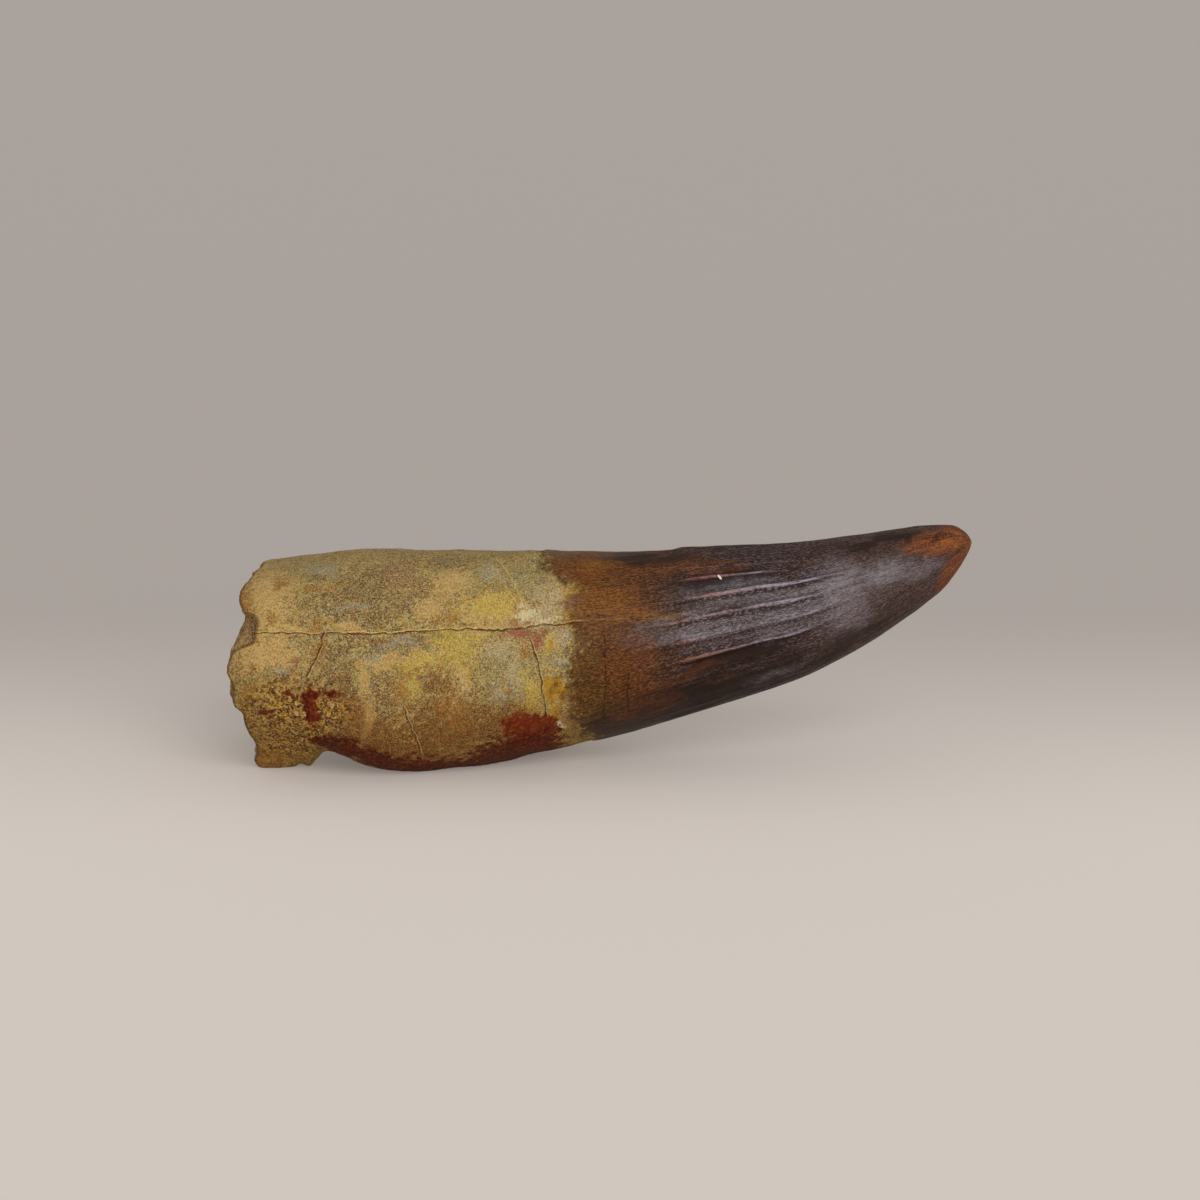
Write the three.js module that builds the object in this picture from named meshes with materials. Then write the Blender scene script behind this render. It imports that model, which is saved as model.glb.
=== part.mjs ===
// A fossil tooth of a large fish-eating dinosaur, all one piece: a thick root that is broken off
// rough at its lower end, and a curved crown of fluted enamel with a worn tip.
// It lies on its convex edge, on a short foot of broken root and on a small flat under the belly.
//
// Millimetres, +Z up. The tip points to +X and the better preserved flank faces -Y. The origin is
// below the middle of the tooth's box, on the surface that it rests on.
import * as THREE from "three";

// Driving dimensions, in millimetres
const HALF_LENGTH = 60;
const TIP_HEIGHT = 36.3;
const ENAMEL_START = -4.5;
const ENAMEL_THICKNESS = 0.3;
const RIDGE_HEIGHT = 0.5;
const RIDGE_HALF_WIDTH = 3;
const CARINA_HEIGHT = 0.3;
const CRACK_DEPTH = 0.5;
const CRACK_HALF_WIDTH = 0.55;
const CAVITY_DEPTH = 3.4;
const CAVITY_HALF_WIDTH = 8.5;
const CAVITY_HALF_HEIGHT = 7.5;
const FACE_CENTRE_Z = 18;
const CHIP_HEIGHT = 0.35;

// Outlines, as [x, z] points joined by smooth curves
const TOP_EDGE = [
  [-60, 30], [-58, 31], [-56, 31.9], [-54.5, 32.5], [-52, 32.8], [-48.4, 33.3], [-45.5, 33.6],
  [-42.2, 34], [-32.2, 34.5], [-19.3, 34.55], [-12, 34.35], [0, 34.35], [11.4, 34.6], [13.3, 35],
  [25.9, 35.5],
  [32.4, 35.9], [38.8, 36.7], [48.5, 38.1], [52.6, 38.7], [56.3, 38.95], [58, 38.5],
  [59.1, 37.8], [59.8, 36.9], [HALF_LENGTH, TIP_HEIGHT],
];
const BELLY_EDGE = [
  [-60, 8], [-56, 6.9], [-50, 5], [-45, 3.2], [-41, 1.5], [-37.7, 0], [-34, -0.8], [-28, -1],
  [-22, -0.9], [-18, -0.8], [-14, -0.5], [-8.2, 0.8], [-3.2, 2.1], [3.3, 3.8], [9.8, 5.9],
  [16, 8.1], [22.7, 10.5], [32.4, 14.1], [38.8, 17.4], [43.7, 20.2], [48.5, 23.5], [52.6, 26.5],
  [55.8, 29.2], [57.4, 31.3], [58.7, 33.3], [59.7, 35.2], [HALF_LENGTH, TIP_HEIGHT],
];

// Depth of a section as a share of its height, and how square its corners are (2 is an ellipse)
const DEPTH_SHARE = [
  [-60, 1.32], [-55, 1.3], [-50, 1.22], [-45, 1.16], [-38, 1.05], [-30, 1], [-20, 0.95],
  [-10, 0.88], [0, 0.79], [10, 0.72], [20, 0.67], [30, 0.64], [45, 0.64], [55, 0.68], [HALF_LENGTH, 0.75],
];
const BACK_FULLNESS = 1.15;
const SQUARENESS = [[-60, 2.5], [-30, 2.4], [-10, 2.15], [10, 2], [HALF_LENGTH, 2]];

// How far the lowest line of a section leans towards the back
const KEEL_LEAN = [[-60, 0], [-36, 0], [-28, 1.2], [-20, 3], [-13, 4.8], [-5, 4.8], [10, 3], [25, 1], [40, 0]];

// The broken end: where the root's front wall and back wall stop, as [z, x]
const FRONT_BREAK = [
  [0.4, -55.5], [1.6, -55.8], [3.6, -55.3], [5.7, -55.5], [8.1, -56.3], [10.1, -57], [11.2, -57.1],
  [12, -58], [14.9, -58.4], [17.2, -58.6], [19.6, -58.7], [21.6, -58.1], [23.5, -57.2],
  [25.7, -56.2], [27.2, -56.3], [27.9, -56.8], [28.7, -56.5], [29.7, -57.1], [30.4, -57.1],
  [31.1, -56.5], [31.9, -55.6], [32.7, -54.4],
];
const BACK_BREAK = [
  [0.4, -54.9], [4, -55], [8, -56], [12, -58.2], [15, -59.6], [19, -59.4], [22, -58.4],
  [25, -57.4], [27, -57], [29.5, -56.2], [32.7, -54.4],
];

// A flake missing from the front wall at the break, as its length and its range of heights
const FLAKE_LENGTH = 2.2;
const FLAKE_HEIGHTS = [22.6, 27.9];
const FLAKE_DEPTH_FROM = 12.5;
const FLAKE_DEPTH_TO = 15;

// The foot: a short lump of root that hangs below the break, with a nick in it, as [x, drop]
const FOOT_DROP = [
  [-60, 7], [-55.6, 7.4], [-54.6, 7.6], [-49.8, 5.7], [-48.6, 4.5], [-47.4, 4.5], [-46.2, 2.9],
  [-44.8, 1.0], [-43.4, 0.2], [-41.5, 0],
];
const FOOT_HALF_WIDTH = 8;
const FOOT_LEAN = -2.5;

// Thin ridges that part the crown's flutes, in degrees up the front and the back flank from their middles
const FRONT_RIDGES = [-66, -54, -42, -30.5, -19.5, -8, 4, 18, 32.5, 46, 58];
const BACK_RIDGES = [-68, -55, -42, -29, -16, -3, 10, 23, 36, 49, 62];
const RIDGES_FADE_IN = [2, 16];
const RIDGES_FADE_OUT = [34, 42];

// Long cracks from the break: height up the flank, from -1 at the bottom to 1 at the top, and end in x
const CRACKS = [
  { side: "front", height: 0.27, to: -3 },
  { side: "back", height: 0.05, to: 2 },
];

// Columns of points round a section
const ROOT_COLUMNS = 60;
const CRACK_MIDDLE = -30;
const CROWN_FROM = -3;
const TIP_FROM = 55;
const TIP_COLUMNS = 36;

// A smooth curve through [x, y] points, as a function of x
function curve(points) {
  const slopes = points.map((point, i) => {
    const before = points[Math.max(i - 1, 0)];
    const after = points[Math.min(i + 1, points.length - 1)];
    const rise = (point[1] - before[1]) * (after[1] - point[1]);
    const inside = i > 0 && i < points.length - 1;
    return inside && rise <= 0 ? 0 : (after[1] - before[1]) / (after[0] - before[0]);
  });
  return (x) => {
    const next = points.findIndex((point) => point[0] > x);
    if (next === 0) return points[0][1];
    if (next < 0) return points[points.length - 1][1];
    const [x0, y0] = points[next - 1];
    const [x1, y1] = points[next];
    const width = x1 - x0;
    const t = (x - x0) / width;
    const ease = t * t * (3 - 2 * t);
    const leave = t * (1 - t) * (1 - t) * slopes[next - 1] * width;
    const arrive = t * t * (1 - t) * slopes[next] * width;
    return y0 + (y1 - y0) * ease + leave - arrive;
  };
}

const topEdge = curve(TOP_EDGE);
const bellyEdge = curve(BELLY_EDGE);
const depthShare = curve(DEPTH_SHARE);
const squareness = curve(SQUARENESS);
const keelLean = curve(KEEL_LEAN);
const frontBreak = curve(FRONT_BREAK);
const backBreak = curve(BACK_BREAK);
const footDrop = curve(FOOT_DROP);

const { smoothstep, degToRad } = THREE.MathUtils;
const TURN = 2 * Math.PI;

// Angles run round a section: 0 is the middle of the front flank, a quarter turn is the top
const spread = (angle) => Math.atan2(Math.sin(angle), Math.cos(angle));
const nearness = (distance, reach) => Math.exp(-((distance / reach) ** 2));

// The bare form of the tooth at x, before its relief
function section(x, angle) {
  const top = topEdge(x);
  const bottom = bellyEdge(x);
  const middle = (top + bottom) / 2;
  const halfHeight = (top - bottom) / 2;
  const power = 2 / squareness(x);
  const across = Math.cos(angle);
  const up = Math.sign(Math.sin(angle)) * Math.abs(Math.sin(angle)) ** power;
  const out = -Math.sign(across) * Math.abs(across) ** power;
  const lean = up < 0 ? keelLean(x) * up * up : 0;
  const fullness = out > 0 ? BACK_FULLNESS : 1;
  const y = out * halfHeight * depthShare(x) * fullness + lean;
  const drop = up < 0 ? footDrop(x) * nearness(y - FOOT_LEAN, FOOT_HALF_WIDTH) * up * up : 0;
  return new THREE.Vector3(x, y, middle + up * halfHeight - drop);
}

// Angle of a crack's line, which wanders a little along the tooth
function crackAngle(crack, x) {
  const wander = 0.012 * Math.sin(0.31 * x) + 0.007 * Math.sin(0.83 * x + 1);
  const climb = Math.asin(crack.height ** (squareness(-30) / 2)) + wander;
  return crack.side === "front" ? climb : Math.PI - climb;
}

// Low swells of the root, and the shallow waist behind the crown
function swell(x, angle) {
  const rootShare = 1 - smoothstep(x, -12, 4);
  const slow = 0.22 * Math.sin(0.21 * x + 2 * angle) * Math.cos(3 * angle + 0.9);
  const quick = 0.14 * Math.sin(0.55 * x + 1.7) * Math.sin(5 * angle + 0.08 * x);
  return rootShare * (slow + quick);
}

// Height of the ridges between the flutes
function ridge(x, angle) {
  const share = smoothstep(x, ...RIDGES_FADE_IN) * (1 - smoothstep(x, ...RIDGES_FADE_OUT));
  const ridges = Math.cos(angle) > 0 ? FRONT_RIDGES : BACK_RIDGES;
  const up = (Math.asin(Math.sin(angle)) * 180) / Math.PI;
  const away = Math.min(...ridges.map((place) => Math.abs(up - place)));
  return share * RIDGE_HEIGHT * nearness(away, RIDGE_HALF_WIDTH);
}

function relief(x, angle) {
  const ragged = 1.8 * Math.sin(2 * angle + 0.6) - 1.6 * Math.sin(5 * angle) - 3 * Math.sin(angle) ** 5;
  const enamelFrom = ENAMEL_START + ragged;
  const enamel = ENAMEL_THICKNESS * smoothstep(x, enamelFrom - 1, enamelFrom + 1);
  const keel = Math.abs(Math.cos(angle));
  const carina = CARINA_HEIGHT * nearness(keel, 0.09) * smoothstep(x, 2, 14) * (1 - smoothstep(x, 50, 56));
  let height = swell(x, angle) + enamel + carina + ridge(x, angle);
  for (const crack of CRACKS) {
    const open = 1 - smoothstep(x, crack.to - 6, crack.to);
    const away = Math.abs(spread(angle - crackAngle(crack, x))) * halfDepth(x);
    height -= open * CRACK_DEPTH * Math.max(0, 1 - away / CRACK_HALF_WIDTH);
  }
  return height;
}

function halfDepth(x) {
  return (depthShare(x) * (topEdge(x) - bellyEdge(x))) / 2;
}

// A point of the finished surface, pressed flat where it would pass through the ground
function surface(x, angle) {
  const point = section(x, angle);
  const middle = (topEdge(x) + bellyEdge(x)) / 2;
  const outward = new THREE.Vector3(0, point.y, point.z - middle).normalize();
  const fade = smoothstep(HALF_LENGTH - x, 0.2, 3);
  point.addScaledVector(outward, relief(x, angle) * fade);
  point.z = Math.max(point.z, 0);
  return point;
}

// Where the tooth ends at a place in its broken face
function breakFace(y, z) {
  const back = smoothstep(y, -9, 9);
  const wall = frontBreak(z) * (1 - back) + backBreak(z) * back;
  const chip = CHIP_HEIGHT * Math.sin(0.85 * z + 0.35 * y) * Math.sin(0.7 * y + 0.7);
  const fromCentre = Math.hypot((y - 0.5) / CAVITY_HALF_WIDTH, (z - FACE_CENTRE_Z) / CAVITY_HALF_HEIGHT);
  const cavity = CAVITY_DEPTH * (1 - smoothstep(fromCentre, 0.5, 1.15));
  const flakeSpan = smoothstep(z, FLAKE_HEIGHTS[0] - 0.5, FLAKE_HEIGHTS[0] + 0.5)
    * (1 - smoothstep(z, FLAKE_HEIGHTS[1] - 0.5, FLAKE_HEIGHTS[1] + 0.5));
  const flake = FLAKE_LENGTH * flakeSpan * smoothstep(-y, FLAKE_DEPTH_FROM, FLAKE_DEPTH_TO);
  return wall + chip + cavity + flake;
}

// Evenly spread angles, of which three are drawn to the edges and the middle of each crack
function rootColumns(x) {
  const step = TURN / ROOT_COLUMNS;
  const columns = Array.from({ length: ROOT_COLUMNS }, (_, i) => step * i);
  const width = CRACK_HALF_WIDTH / halfDepth(x);
  for (const crack of CRACKS) {
    const centre = crackAngle(crack, x);
    const middle = Math.round(crackAngle(crack, CRACK_MIDDLE) / step);
    columns[middle - 1] = centre - width;
    columns[middle] = centre;
    columns[middle + 1] = centre + width;
  }
  return columns;
}

// Four columns from each ridge to the next, and three along each carina
function crownColumns() {
  const steps = (ridges) => ridges.slice(1).flatMap((place, i) => {
    const span = place - ridges[i];
    return [0, 0.25, 0.5, 0.75].map((share) => ridges[i] + share * span);
  });
  const front = [...steps(FRONT_RIDGES), FRONT_RIDGES.at(-1), 68, 77, 85, 90];
  const back = [...steps(BACK_RIDGES), BACK_RIDGES.at(-1), 69, 77, 85, 90];
  const under = [-77, -85];
  return [
    ...front, ...under, -90,
    ...back.filter((up) => up < 90).map((up) => 180 - up), ...under.map((up) => 180 - up),
  ].map((degrees) => (degToRad(degrees) + TURN) % TURN).sort((a, b) => a - b);
}

// Stations along the tooth: the first follow the break, the others stand square to x
function stations() {
  const places = [];
  const add = (to, step) => {
    for (let x = places.at(-1) + step; x < to - step / 2; x += step) places.push(x);
    places.push(to);
  };
  places.push(-50);
  add(-42, 1);
  add(-34, 1.6);
  add(2, 2.4);
  add(46, 3.15);
  add(55, 1.8);
  for (const x of [56.6, 57.8, 58.7, 59.35, 59.75, 59.94]) places.push(x);
  return places;
}

const BREAK_STEPS = 5;
const CAP_RINGS = [0.92, 0.8, 0.66, 0.54, 0.43, 0.31, 0.18];

const vertices = [];
const triangles = [];

function addRing(angles, place) {
  const first = vertices.length;
  for (const angle of angles) vertices.push(place(angle));
  return { angles, first };
}

// Joins two rings of the same columns with pairs of triangles
function joinLikeRings(a, b) {
  const count = a.angles.length;
  for (let i = 0; i < count; i += 1) {
    const next = (i + 1) % count;
    triangles.push([a.first + i, b.first + i, a.first + next]);
    triangles.push([a.first + next, b.first + i, b.first + next]);
  }
}

// Joins two rings of different columns, always stepping to the nearer column
function joinUnlikeRings(a, b) {
  const turn = (ring, i) => ring.angles[i % ring.angles.length] + TURN * Math.floor(i / ring.angles.length);
  const at = (ring, i) => ring.first + (i % ring.angles.length);
  let i = 0;
  let j = 0;
  while (i < a.angles.length || j < b.angles.length) {
    const stepA = i < a.angles.length && (j >= b.angles.length || turn(a, i + 1) <= turn(b, j + 1));
    if (stepA) {
      triangles.push([at(a, i), at(b, j), at(a, i + 1)]);
      i += 1;
    } else {
      triangles.push([at(a, i), at(b, j), at(b, j + 1)]);
      j += 1;
    }
  }
}

function closeRing(ring, point, outwardFirst) {
  const centre = vertices.length;
  vertices.push(point);
  const count = ring.angles.length;
  for (let i = 0; i < count; i += 1) {
    const here = ring.first + i;
    const next = ring.first + ((i + 1) % count);
    triangles.push(outwardFirst ? [here, centre, next] : [centre, here, next]);
  }
}

function buildTooth() {
  const firstPlace = stations()[0];
  const columns = rootColumns(firstPlace);
  const edgeOf = (angle) => {
    const guess = surface(-56, angle);
    return breakFace(guess.y, guess.z);
  };
  const edges = columns.map(edgeOf);
  const edgeRing = columns.map((angle, i) => surface(edges[i], angle));
  const centre = new THREE.Vector3(0, 0, FACE_CENTRE_Z);

  // The broken face, from its middle outwards
  const cap = [...CAP_RINGS].reverse().map((share) => addRing(columns, (angle) => {
    const rim = edgeRing[columns.indexOf(angle)];
    const y = centre.y + (rim.y - centre.y) * share;
    const z = centre.z + (rim.z - centre.z) * share;
    return new THREE.Vector3(breakFace(y, z), y, z);
  }));
  closeRing(cap[0], new THREE.Vector3(breakFace(centre.y, centre.z), centre.y, centre.z), false);
  const rings = [...cap];

  // The root's outside, from the break to the first square station
  for (let step = 0; step < BREAK_STEPS; step += 1) {
    const share = step / BREAK_STEPS;
    rings.push(addRing(columns, (angle) => {
      const edge = edges[columns.indexOf(angle)];
      return surface(edge + (firstPlace - edge) * share, angle);
    }));
  }

  // The rest, to the tip
  const crown = crownColumns();
  const tip = Array.from({ length: TIP_COLUMNS }, (_, i) => (TURN * i) / TIP_COLUMNS);
  for (const x of stations()) {
    const angles = x < CROWN_FROM ? rootColumns(x) : x < TIP_FROM ? crown : tip;
    rings.push(addRing(angles, (angle) => surface(x, angle)));
  }
  for (let i = 1; i < rings.length; i += 1) {
    const alike = rings[i - 1].angles.length === rings[i].angles.length;
    const join = alike ? joinLikeRings : joinUnlikeRings;
    join(rings[i - 1], rings[i]);
  }
  closeRing(rings.at(-1), new THREE.Vector3(HALF_LENGTH, 0, TIP_HEIGHT), true);
}

buildTooth();

const geometry = new THREE.BufferGeometry();
geometry.setAttribute("position", new THREE.Float32BufferAttribute(vertices.flatMap((v) => v.toArray()), 3));
geometry.setIndex(triangles.flat());
geometry.computeBoundingBox();
const { min, max } = geometry.boundingBox;
geometry.translate(-(min.x + max.x) / 2, -(min.y + max.y) / 2, -min.z);
geometry.computeVertexNormals();

const fossil = new THREE.MeshStandardMaterial({ color: 0x7a5c38, roughness: 0.6, metalness: 0 });
const tooth = new THREE.Mesh(geometry, fossil);
tooth.name = "tooth";

const model = new THREE.Group();
model.add(tooth);

export default model;
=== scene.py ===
# A fossil tooth of a large fish-eating dinosaur on a pale floor: a stained, cracked root that is
# broken off rough, and a curved crown of dark, fluted enamel with a worn amber tip.
# The shape is worked out in millimetres, in the frame's own axes, and turned into metres at the end.
import math
from collections import namedtuple
from types import SimpleNamespace

import bpy
import numpy as np
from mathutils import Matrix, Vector, noise


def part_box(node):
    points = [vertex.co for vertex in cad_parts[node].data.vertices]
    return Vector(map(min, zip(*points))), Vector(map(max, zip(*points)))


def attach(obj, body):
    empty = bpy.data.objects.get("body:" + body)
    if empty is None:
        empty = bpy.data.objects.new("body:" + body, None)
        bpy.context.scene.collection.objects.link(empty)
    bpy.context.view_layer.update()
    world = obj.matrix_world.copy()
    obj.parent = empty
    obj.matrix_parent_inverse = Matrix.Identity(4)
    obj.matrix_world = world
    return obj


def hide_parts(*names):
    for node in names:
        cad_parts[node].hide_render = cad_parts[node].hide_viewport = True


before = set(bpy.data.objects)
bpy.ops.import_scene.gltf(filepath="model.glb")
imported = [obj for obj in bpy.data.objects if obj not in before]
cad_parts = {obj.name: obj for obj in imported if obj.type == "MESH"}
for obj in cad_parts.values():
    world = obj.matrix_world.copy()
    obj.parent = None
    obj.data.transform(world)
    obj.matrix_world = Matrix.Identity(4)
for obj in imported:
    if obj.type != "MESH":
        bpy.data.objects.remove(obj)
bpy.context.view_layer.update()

MM = 0.001
TURN = 2 * math.pi

# Driving dimensions, in millimetres
HALF_LENGTH = 60
TIP_HEIGHT = 36.3
CAVITY_DEPTH = 3.4
CAVITY_HALF_WIDTH = 8.5
CAVITY_HALF_HEIGHT = 7.5
CAVITY_Y = 0.5
FACE_CENTRE_Z = 18
CENTRE_X = 0.037
CENTRE_Y = 1.502

# Relief, in millimetres
ENAMEL_THICKNESS = 0.2
ROOT_SINK = 0.1
RIDGE_HEIGHT = 0.36
CARINA_HEIGHT = 0.3
LUMP_HEIGHT = 0.16
PIT_HEIGHT = 0.06
ROUGH_PIT_HEIGHT = 0.2
ROUGH_SINK = 0.1
WRINKLE_HEIGHT = 0.09
WORN_SINK = 0.18
WORN_GRAIN = 0.1
CRUST_HEIGHT = 0.12
SLOW_SWELL = 0.22
QUICK_SWELL = 0.14
EDGE_CHIPS = 0.28
CHIP_HEIGHT = 0.35
FACE_LUMPS = 0.5
FACE_GRAINS = 0.16
RIM_REACH = 0.55
GROOVE_HALF_WIDTH = 0.45
GRAIN_RADIUS = 15
WAVER_LENGTH = 9
WAVER_RADIUS = 3

# How many times deeper a groove is than its crack's half width, and wrinkles longer than wide
GROOVE_DEPTHS = 3.5
WRINKLE_STRETCH = 5

# Outlines of the side view, as (x, z) points joined by smooth curves
TOP_EDGE = [
    (-60, 30), (-58, 31), (-56, 31.9), (-54.5, 32.5), (-52, 32.8), (-48.4, 33.3), (-45.5, 33.6),
    (-42.2, 34), (-32.2, 34.5), (-19.3, 34.55), (-12, 34.35), (0, 34.35), (11.4, 34.6), (13.3, 35),
    (25.9, 35.5), (32.4, 35.9), (38.8, 36.7), (48.5, 38.1), (52.6, 38.7), (56.3, 38.95), (58, 38.5),
    (59.1, 37.8), (59.8, 36.9), (HALF_LENGTH, TIP_HEIGHT),
]
BELLY_EDGE = [
    (-60, 8), (-56, 6.9), (-50, 5), (-45, 3.2), (-41, 1.5), (-37.7, 0), (-34, -0.8), (-28, -1),
    (-22, -0.9), (-18, -0.8), (-14, -0.5), (-8.2, 0.8), (-3.2, 2.1), (3.3, 3.8), (9.8, 5.9),
    (16, 8.1), (22.7, 10.5), (32.4, 14.1), (38.8, 17.4), (43.7, 20.2), (48.5, 23.5), (52.6, 26.5),
    (55.8, 29.2), (57.4, 31.3), (58.7, 33.3), (59.7, 35.2), (HALF_LENGTH, TIP_HEIGHT),
]

# Depth of a section as a share of its height, and how square its corners are (2 is an ellipse)
DEPTH_SHARE = [
    (-60, 1.32), (-55, 1.3), (-50, 1.22), (-45, 1.16), (-38, 1.05), (-30, 1), (-20, 0.95), (-10, 0.88),
    (0, 0.79), (10, 0.72), (20, 0.67), (30, 0.64), (45, 0.64), (55, 0.68), (HALF_LENGTH, 0.75),
]
BACK_FULLNESS = 1.15
SQUARENESS = [(-60, 2.5), (-30, 2.4), (-10, 2.15), (10, 2), (HALF_LENGTH, 2)]
KEEL_LEAN = [(-60, 0), (-36, 0), (-28, 1.2), (-20, 3), (-13, 4.8), (-5, 4.8), (10, 3), (25, 1), (40, 0)]

# The broken end: where the root's front wall and back wall stop, as (z, x)
FRONT_BREAK = [
    (0.4, -55.5), (1.6, -55.8), (3.6, -55.3), (5.7, -55.5), (8.1, -56.3), (10.1, -57), (11.2, -57.1),
    (12, -58), (14.9, -58.4), (17.2, -58.6), (19.6, -58.7), (21.6, -58.1), (23.5, -57.2),
    (25.7, -56.2), (27.2, -56.3), (27.9, -56.8), (28.7, -56.5), (29.7, -57.1), (30.4, -57.1),
    (31.1, -56.5), (31.9, -55.6), (32.7, -54.4),
]
BACK_BREAK = [
    (0.4, -54.9), (4, -55), (8, -56), (12, -58.2), (15, -59.6), (19, -59.4), (22, -58.4),
    (25, -57.4), (27, -57), (29.5, -56.2), (32.7, -54.4),
]
FLAKE_LENGTH = 2.2
FLAKE_HEIGHTS = (22.6, 27.9)
FLAKE_DEPTHS = (12.5, 15)

# The foot: a short lump of root that hangs below the break, with a nick in it, as (x, drop)
FOOT_DROP = [
    (-60, 7), (-55.6, 7.4), (-54.6, 7.6), (-49.8, 5.7), (-48.6, 4.5), (-47.4, 4.5), (-46.2, 2.9),
    (-44.8, 1), (-43.4, 0.2), (-41.5, 0),
]
FOOT_HALF_WIDTH = 8
FOOT_LEAN = -2.5

# Thin ridges that part the crown's flutes, in degrees up the front and the back flank from their
# middles, with a thin line of painted shadow below each. They fade in and out along the tooth, in
# millimetres.
FRONT_RIDGES = [-66, -54, -42, -30.5, -19.5, -8, 4, 18, 32.5, 46, 58]
BACK_RIDGES = [-68, -55, -42, -29, -16, -3, 10, 23, 36, 49, 62]
RIDGE_HALF_WIDTH = 2
SHADE_BELOW_RIDGE = 2.6
RIDGES_FADE_IN = (2, 16)
RIDGES_FADE_OUT = (34, 42)

# The camera, which also fixes what "seen from the front" means for the stains. Its distances are in
# millimetres, apart from where it clips, in metres.
CAMERA_DISTANCE = 540
CAMERA_ELEVATION = math.radians(12)
CAMERA_LENS = 100
CAMERA_SENSOR = 36
CAMERA_CLIP = (0.01, 100)
AIM_HEIGHT = 26.8
GROUND_LINE = 27.3


def curve(points):
    """A smooth curve through (x, y) points, as a function of arrays of x."""
    xs, ys = (np.array(values, float) for values in zip(*points))
    slopes = np.zeros_like(ys)
    inner = (ys[1:-1] - ys[:-2]) * (ys[2:] - ys[1:-1]) > 0
    slopes[1:-1] = np.where(inner, (ys[2:] - ys[:-2]) / (xs[2:] - xs[:-2]), 0)
    slopes[0] = (ys[1] - ys[0]) / (xs[1] - xs[0])
    slopes[-1] = (ys[-1] - ys[-2]) / (xs[-1] - xs[-2])

    def at(x):
        x = np.clip(x, xs[0], xs[-1])
        i = np.clip(np.searchsorted(xs, x, side="right") - 1, 0, len(xs) - 2)
        width = xs[i + 1] - xs[i]
        t = (x - xs[i]) / width
        ease = t * t * (3 - 2 * t)
        leave = t * (1 - t) ** 2 * slopes[i] * width
        arrive = t * t * (1 - t) * slopes[i + 1] * width
        return ys[i] + (ys[i + 1] - ys[i]) * ease + leave - arrive

    return at


top_edge = curve(TOP_EDGE)
belly_edge = curve(BELLY_EDGE)
depth_share = curve(DEPTH_SHARE)
squareness = curve(SQUARENESS)
keel_lean = curve(KEEL_LEAN)
front_break = curve(FRONT_BREAK)
back_break = curve(BACK_BREAK)
foot_drop = curve(FOOT_DROP)


def smoothstep(value, low, high):
    t = np.clip((value - low) / (high - low), 0, 1)
    return t * t * (3 - 2 * t)


def nearness(distance, reach):
    return np.exp(-((distance / reach) ** 2))


def fractal(points, size, octaves=3, seed=0):
    """Cloudy noise, about -1 to 1, with features of that size in millimetres."""
    shift = np.array([17.3, 5.9, 31.7]) * (seed + 1)
    places = (points / size + shift).reshape(-1, 3).tolist()
    values = [noise.fractal(place, 1.0, 2.0, octaves) for place in places]
    return np.array(values).reshape(points.shape[:-1])


def section(x, angle):
    """The bare form of the tooth, before its relief. Angle 0 faces the front, a quarter turn is the top."""
    top = top_edge(x)
    bottom = belly_edge(x)
    half_height = (top - bottom) / 2
    power = squareness(x)
    reach = (np.abs(np.cos(angle)) ** power + np.abs(np.sin(angle)) ** power) ** (-1 / power)
    out = -np.cos(angle) * reach
    up = np.sin(angle) * reach
    below = np.where(up < 0, up * up, 0)
    fullness = np.where(out > 0, BACK_FULLNESS, 1)
    y = out * half_height * depth_share(x) * fullness + keel_lean(x) * below
    drop = foot_drop(x) * nearness(y - FOOT_LEAN, FOOT_HALF_WIDTH) * below
    z = (top + bottom) / 2 + up * half_height - drop
    return np.stack([x + 0 * y, y, z], axis=-1)


def from_cavity(y, z):
    """0 in the middle of the pulp cavity and 1 on its border."""
    return np.hypot((y - CAVITY_Y) / CAVITY_HALF_WIDTH, (z - FACE_CENTRE_Z) / CAVITY_HALF_HEIGHT)


def break_face(y, z):
    """Where the tooth ends at a place in its broken face."""
    back = smoothstep(y, -9, 9)
    wall = front_break(z) * (1 - back) + back_break(z) * back
    chip = CHIP_HEIGHT * np.sin(0.85 * z + 0.35 * y) * np.sin(0.7 * y + 0.7)
    cavity = CAVITY_DEPTH * (1 - smoothstep(from_cavity(y, z), 0.5, 1.15))
    low, high = FLAKE_HEIGHTS
    span = smoothstep(z, low - 0.5, low + 0.5) * (1 - smoothstep(z, high - 0.5, high + 0.5))
    flake = FLAKE_LENGTH * span * smoothstep(-y, *FLAKE_DEPTHS)
    return wall + chip + cavity + flake


def rolled_out(x, angle, radius):
    """Places on a rod of that radius, so that a noise there doesn't narrow towards the tip."""
    return np.stack([x, radius * np.cos(angle), radius * np.sin(angle)], axis=-1)


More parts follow.
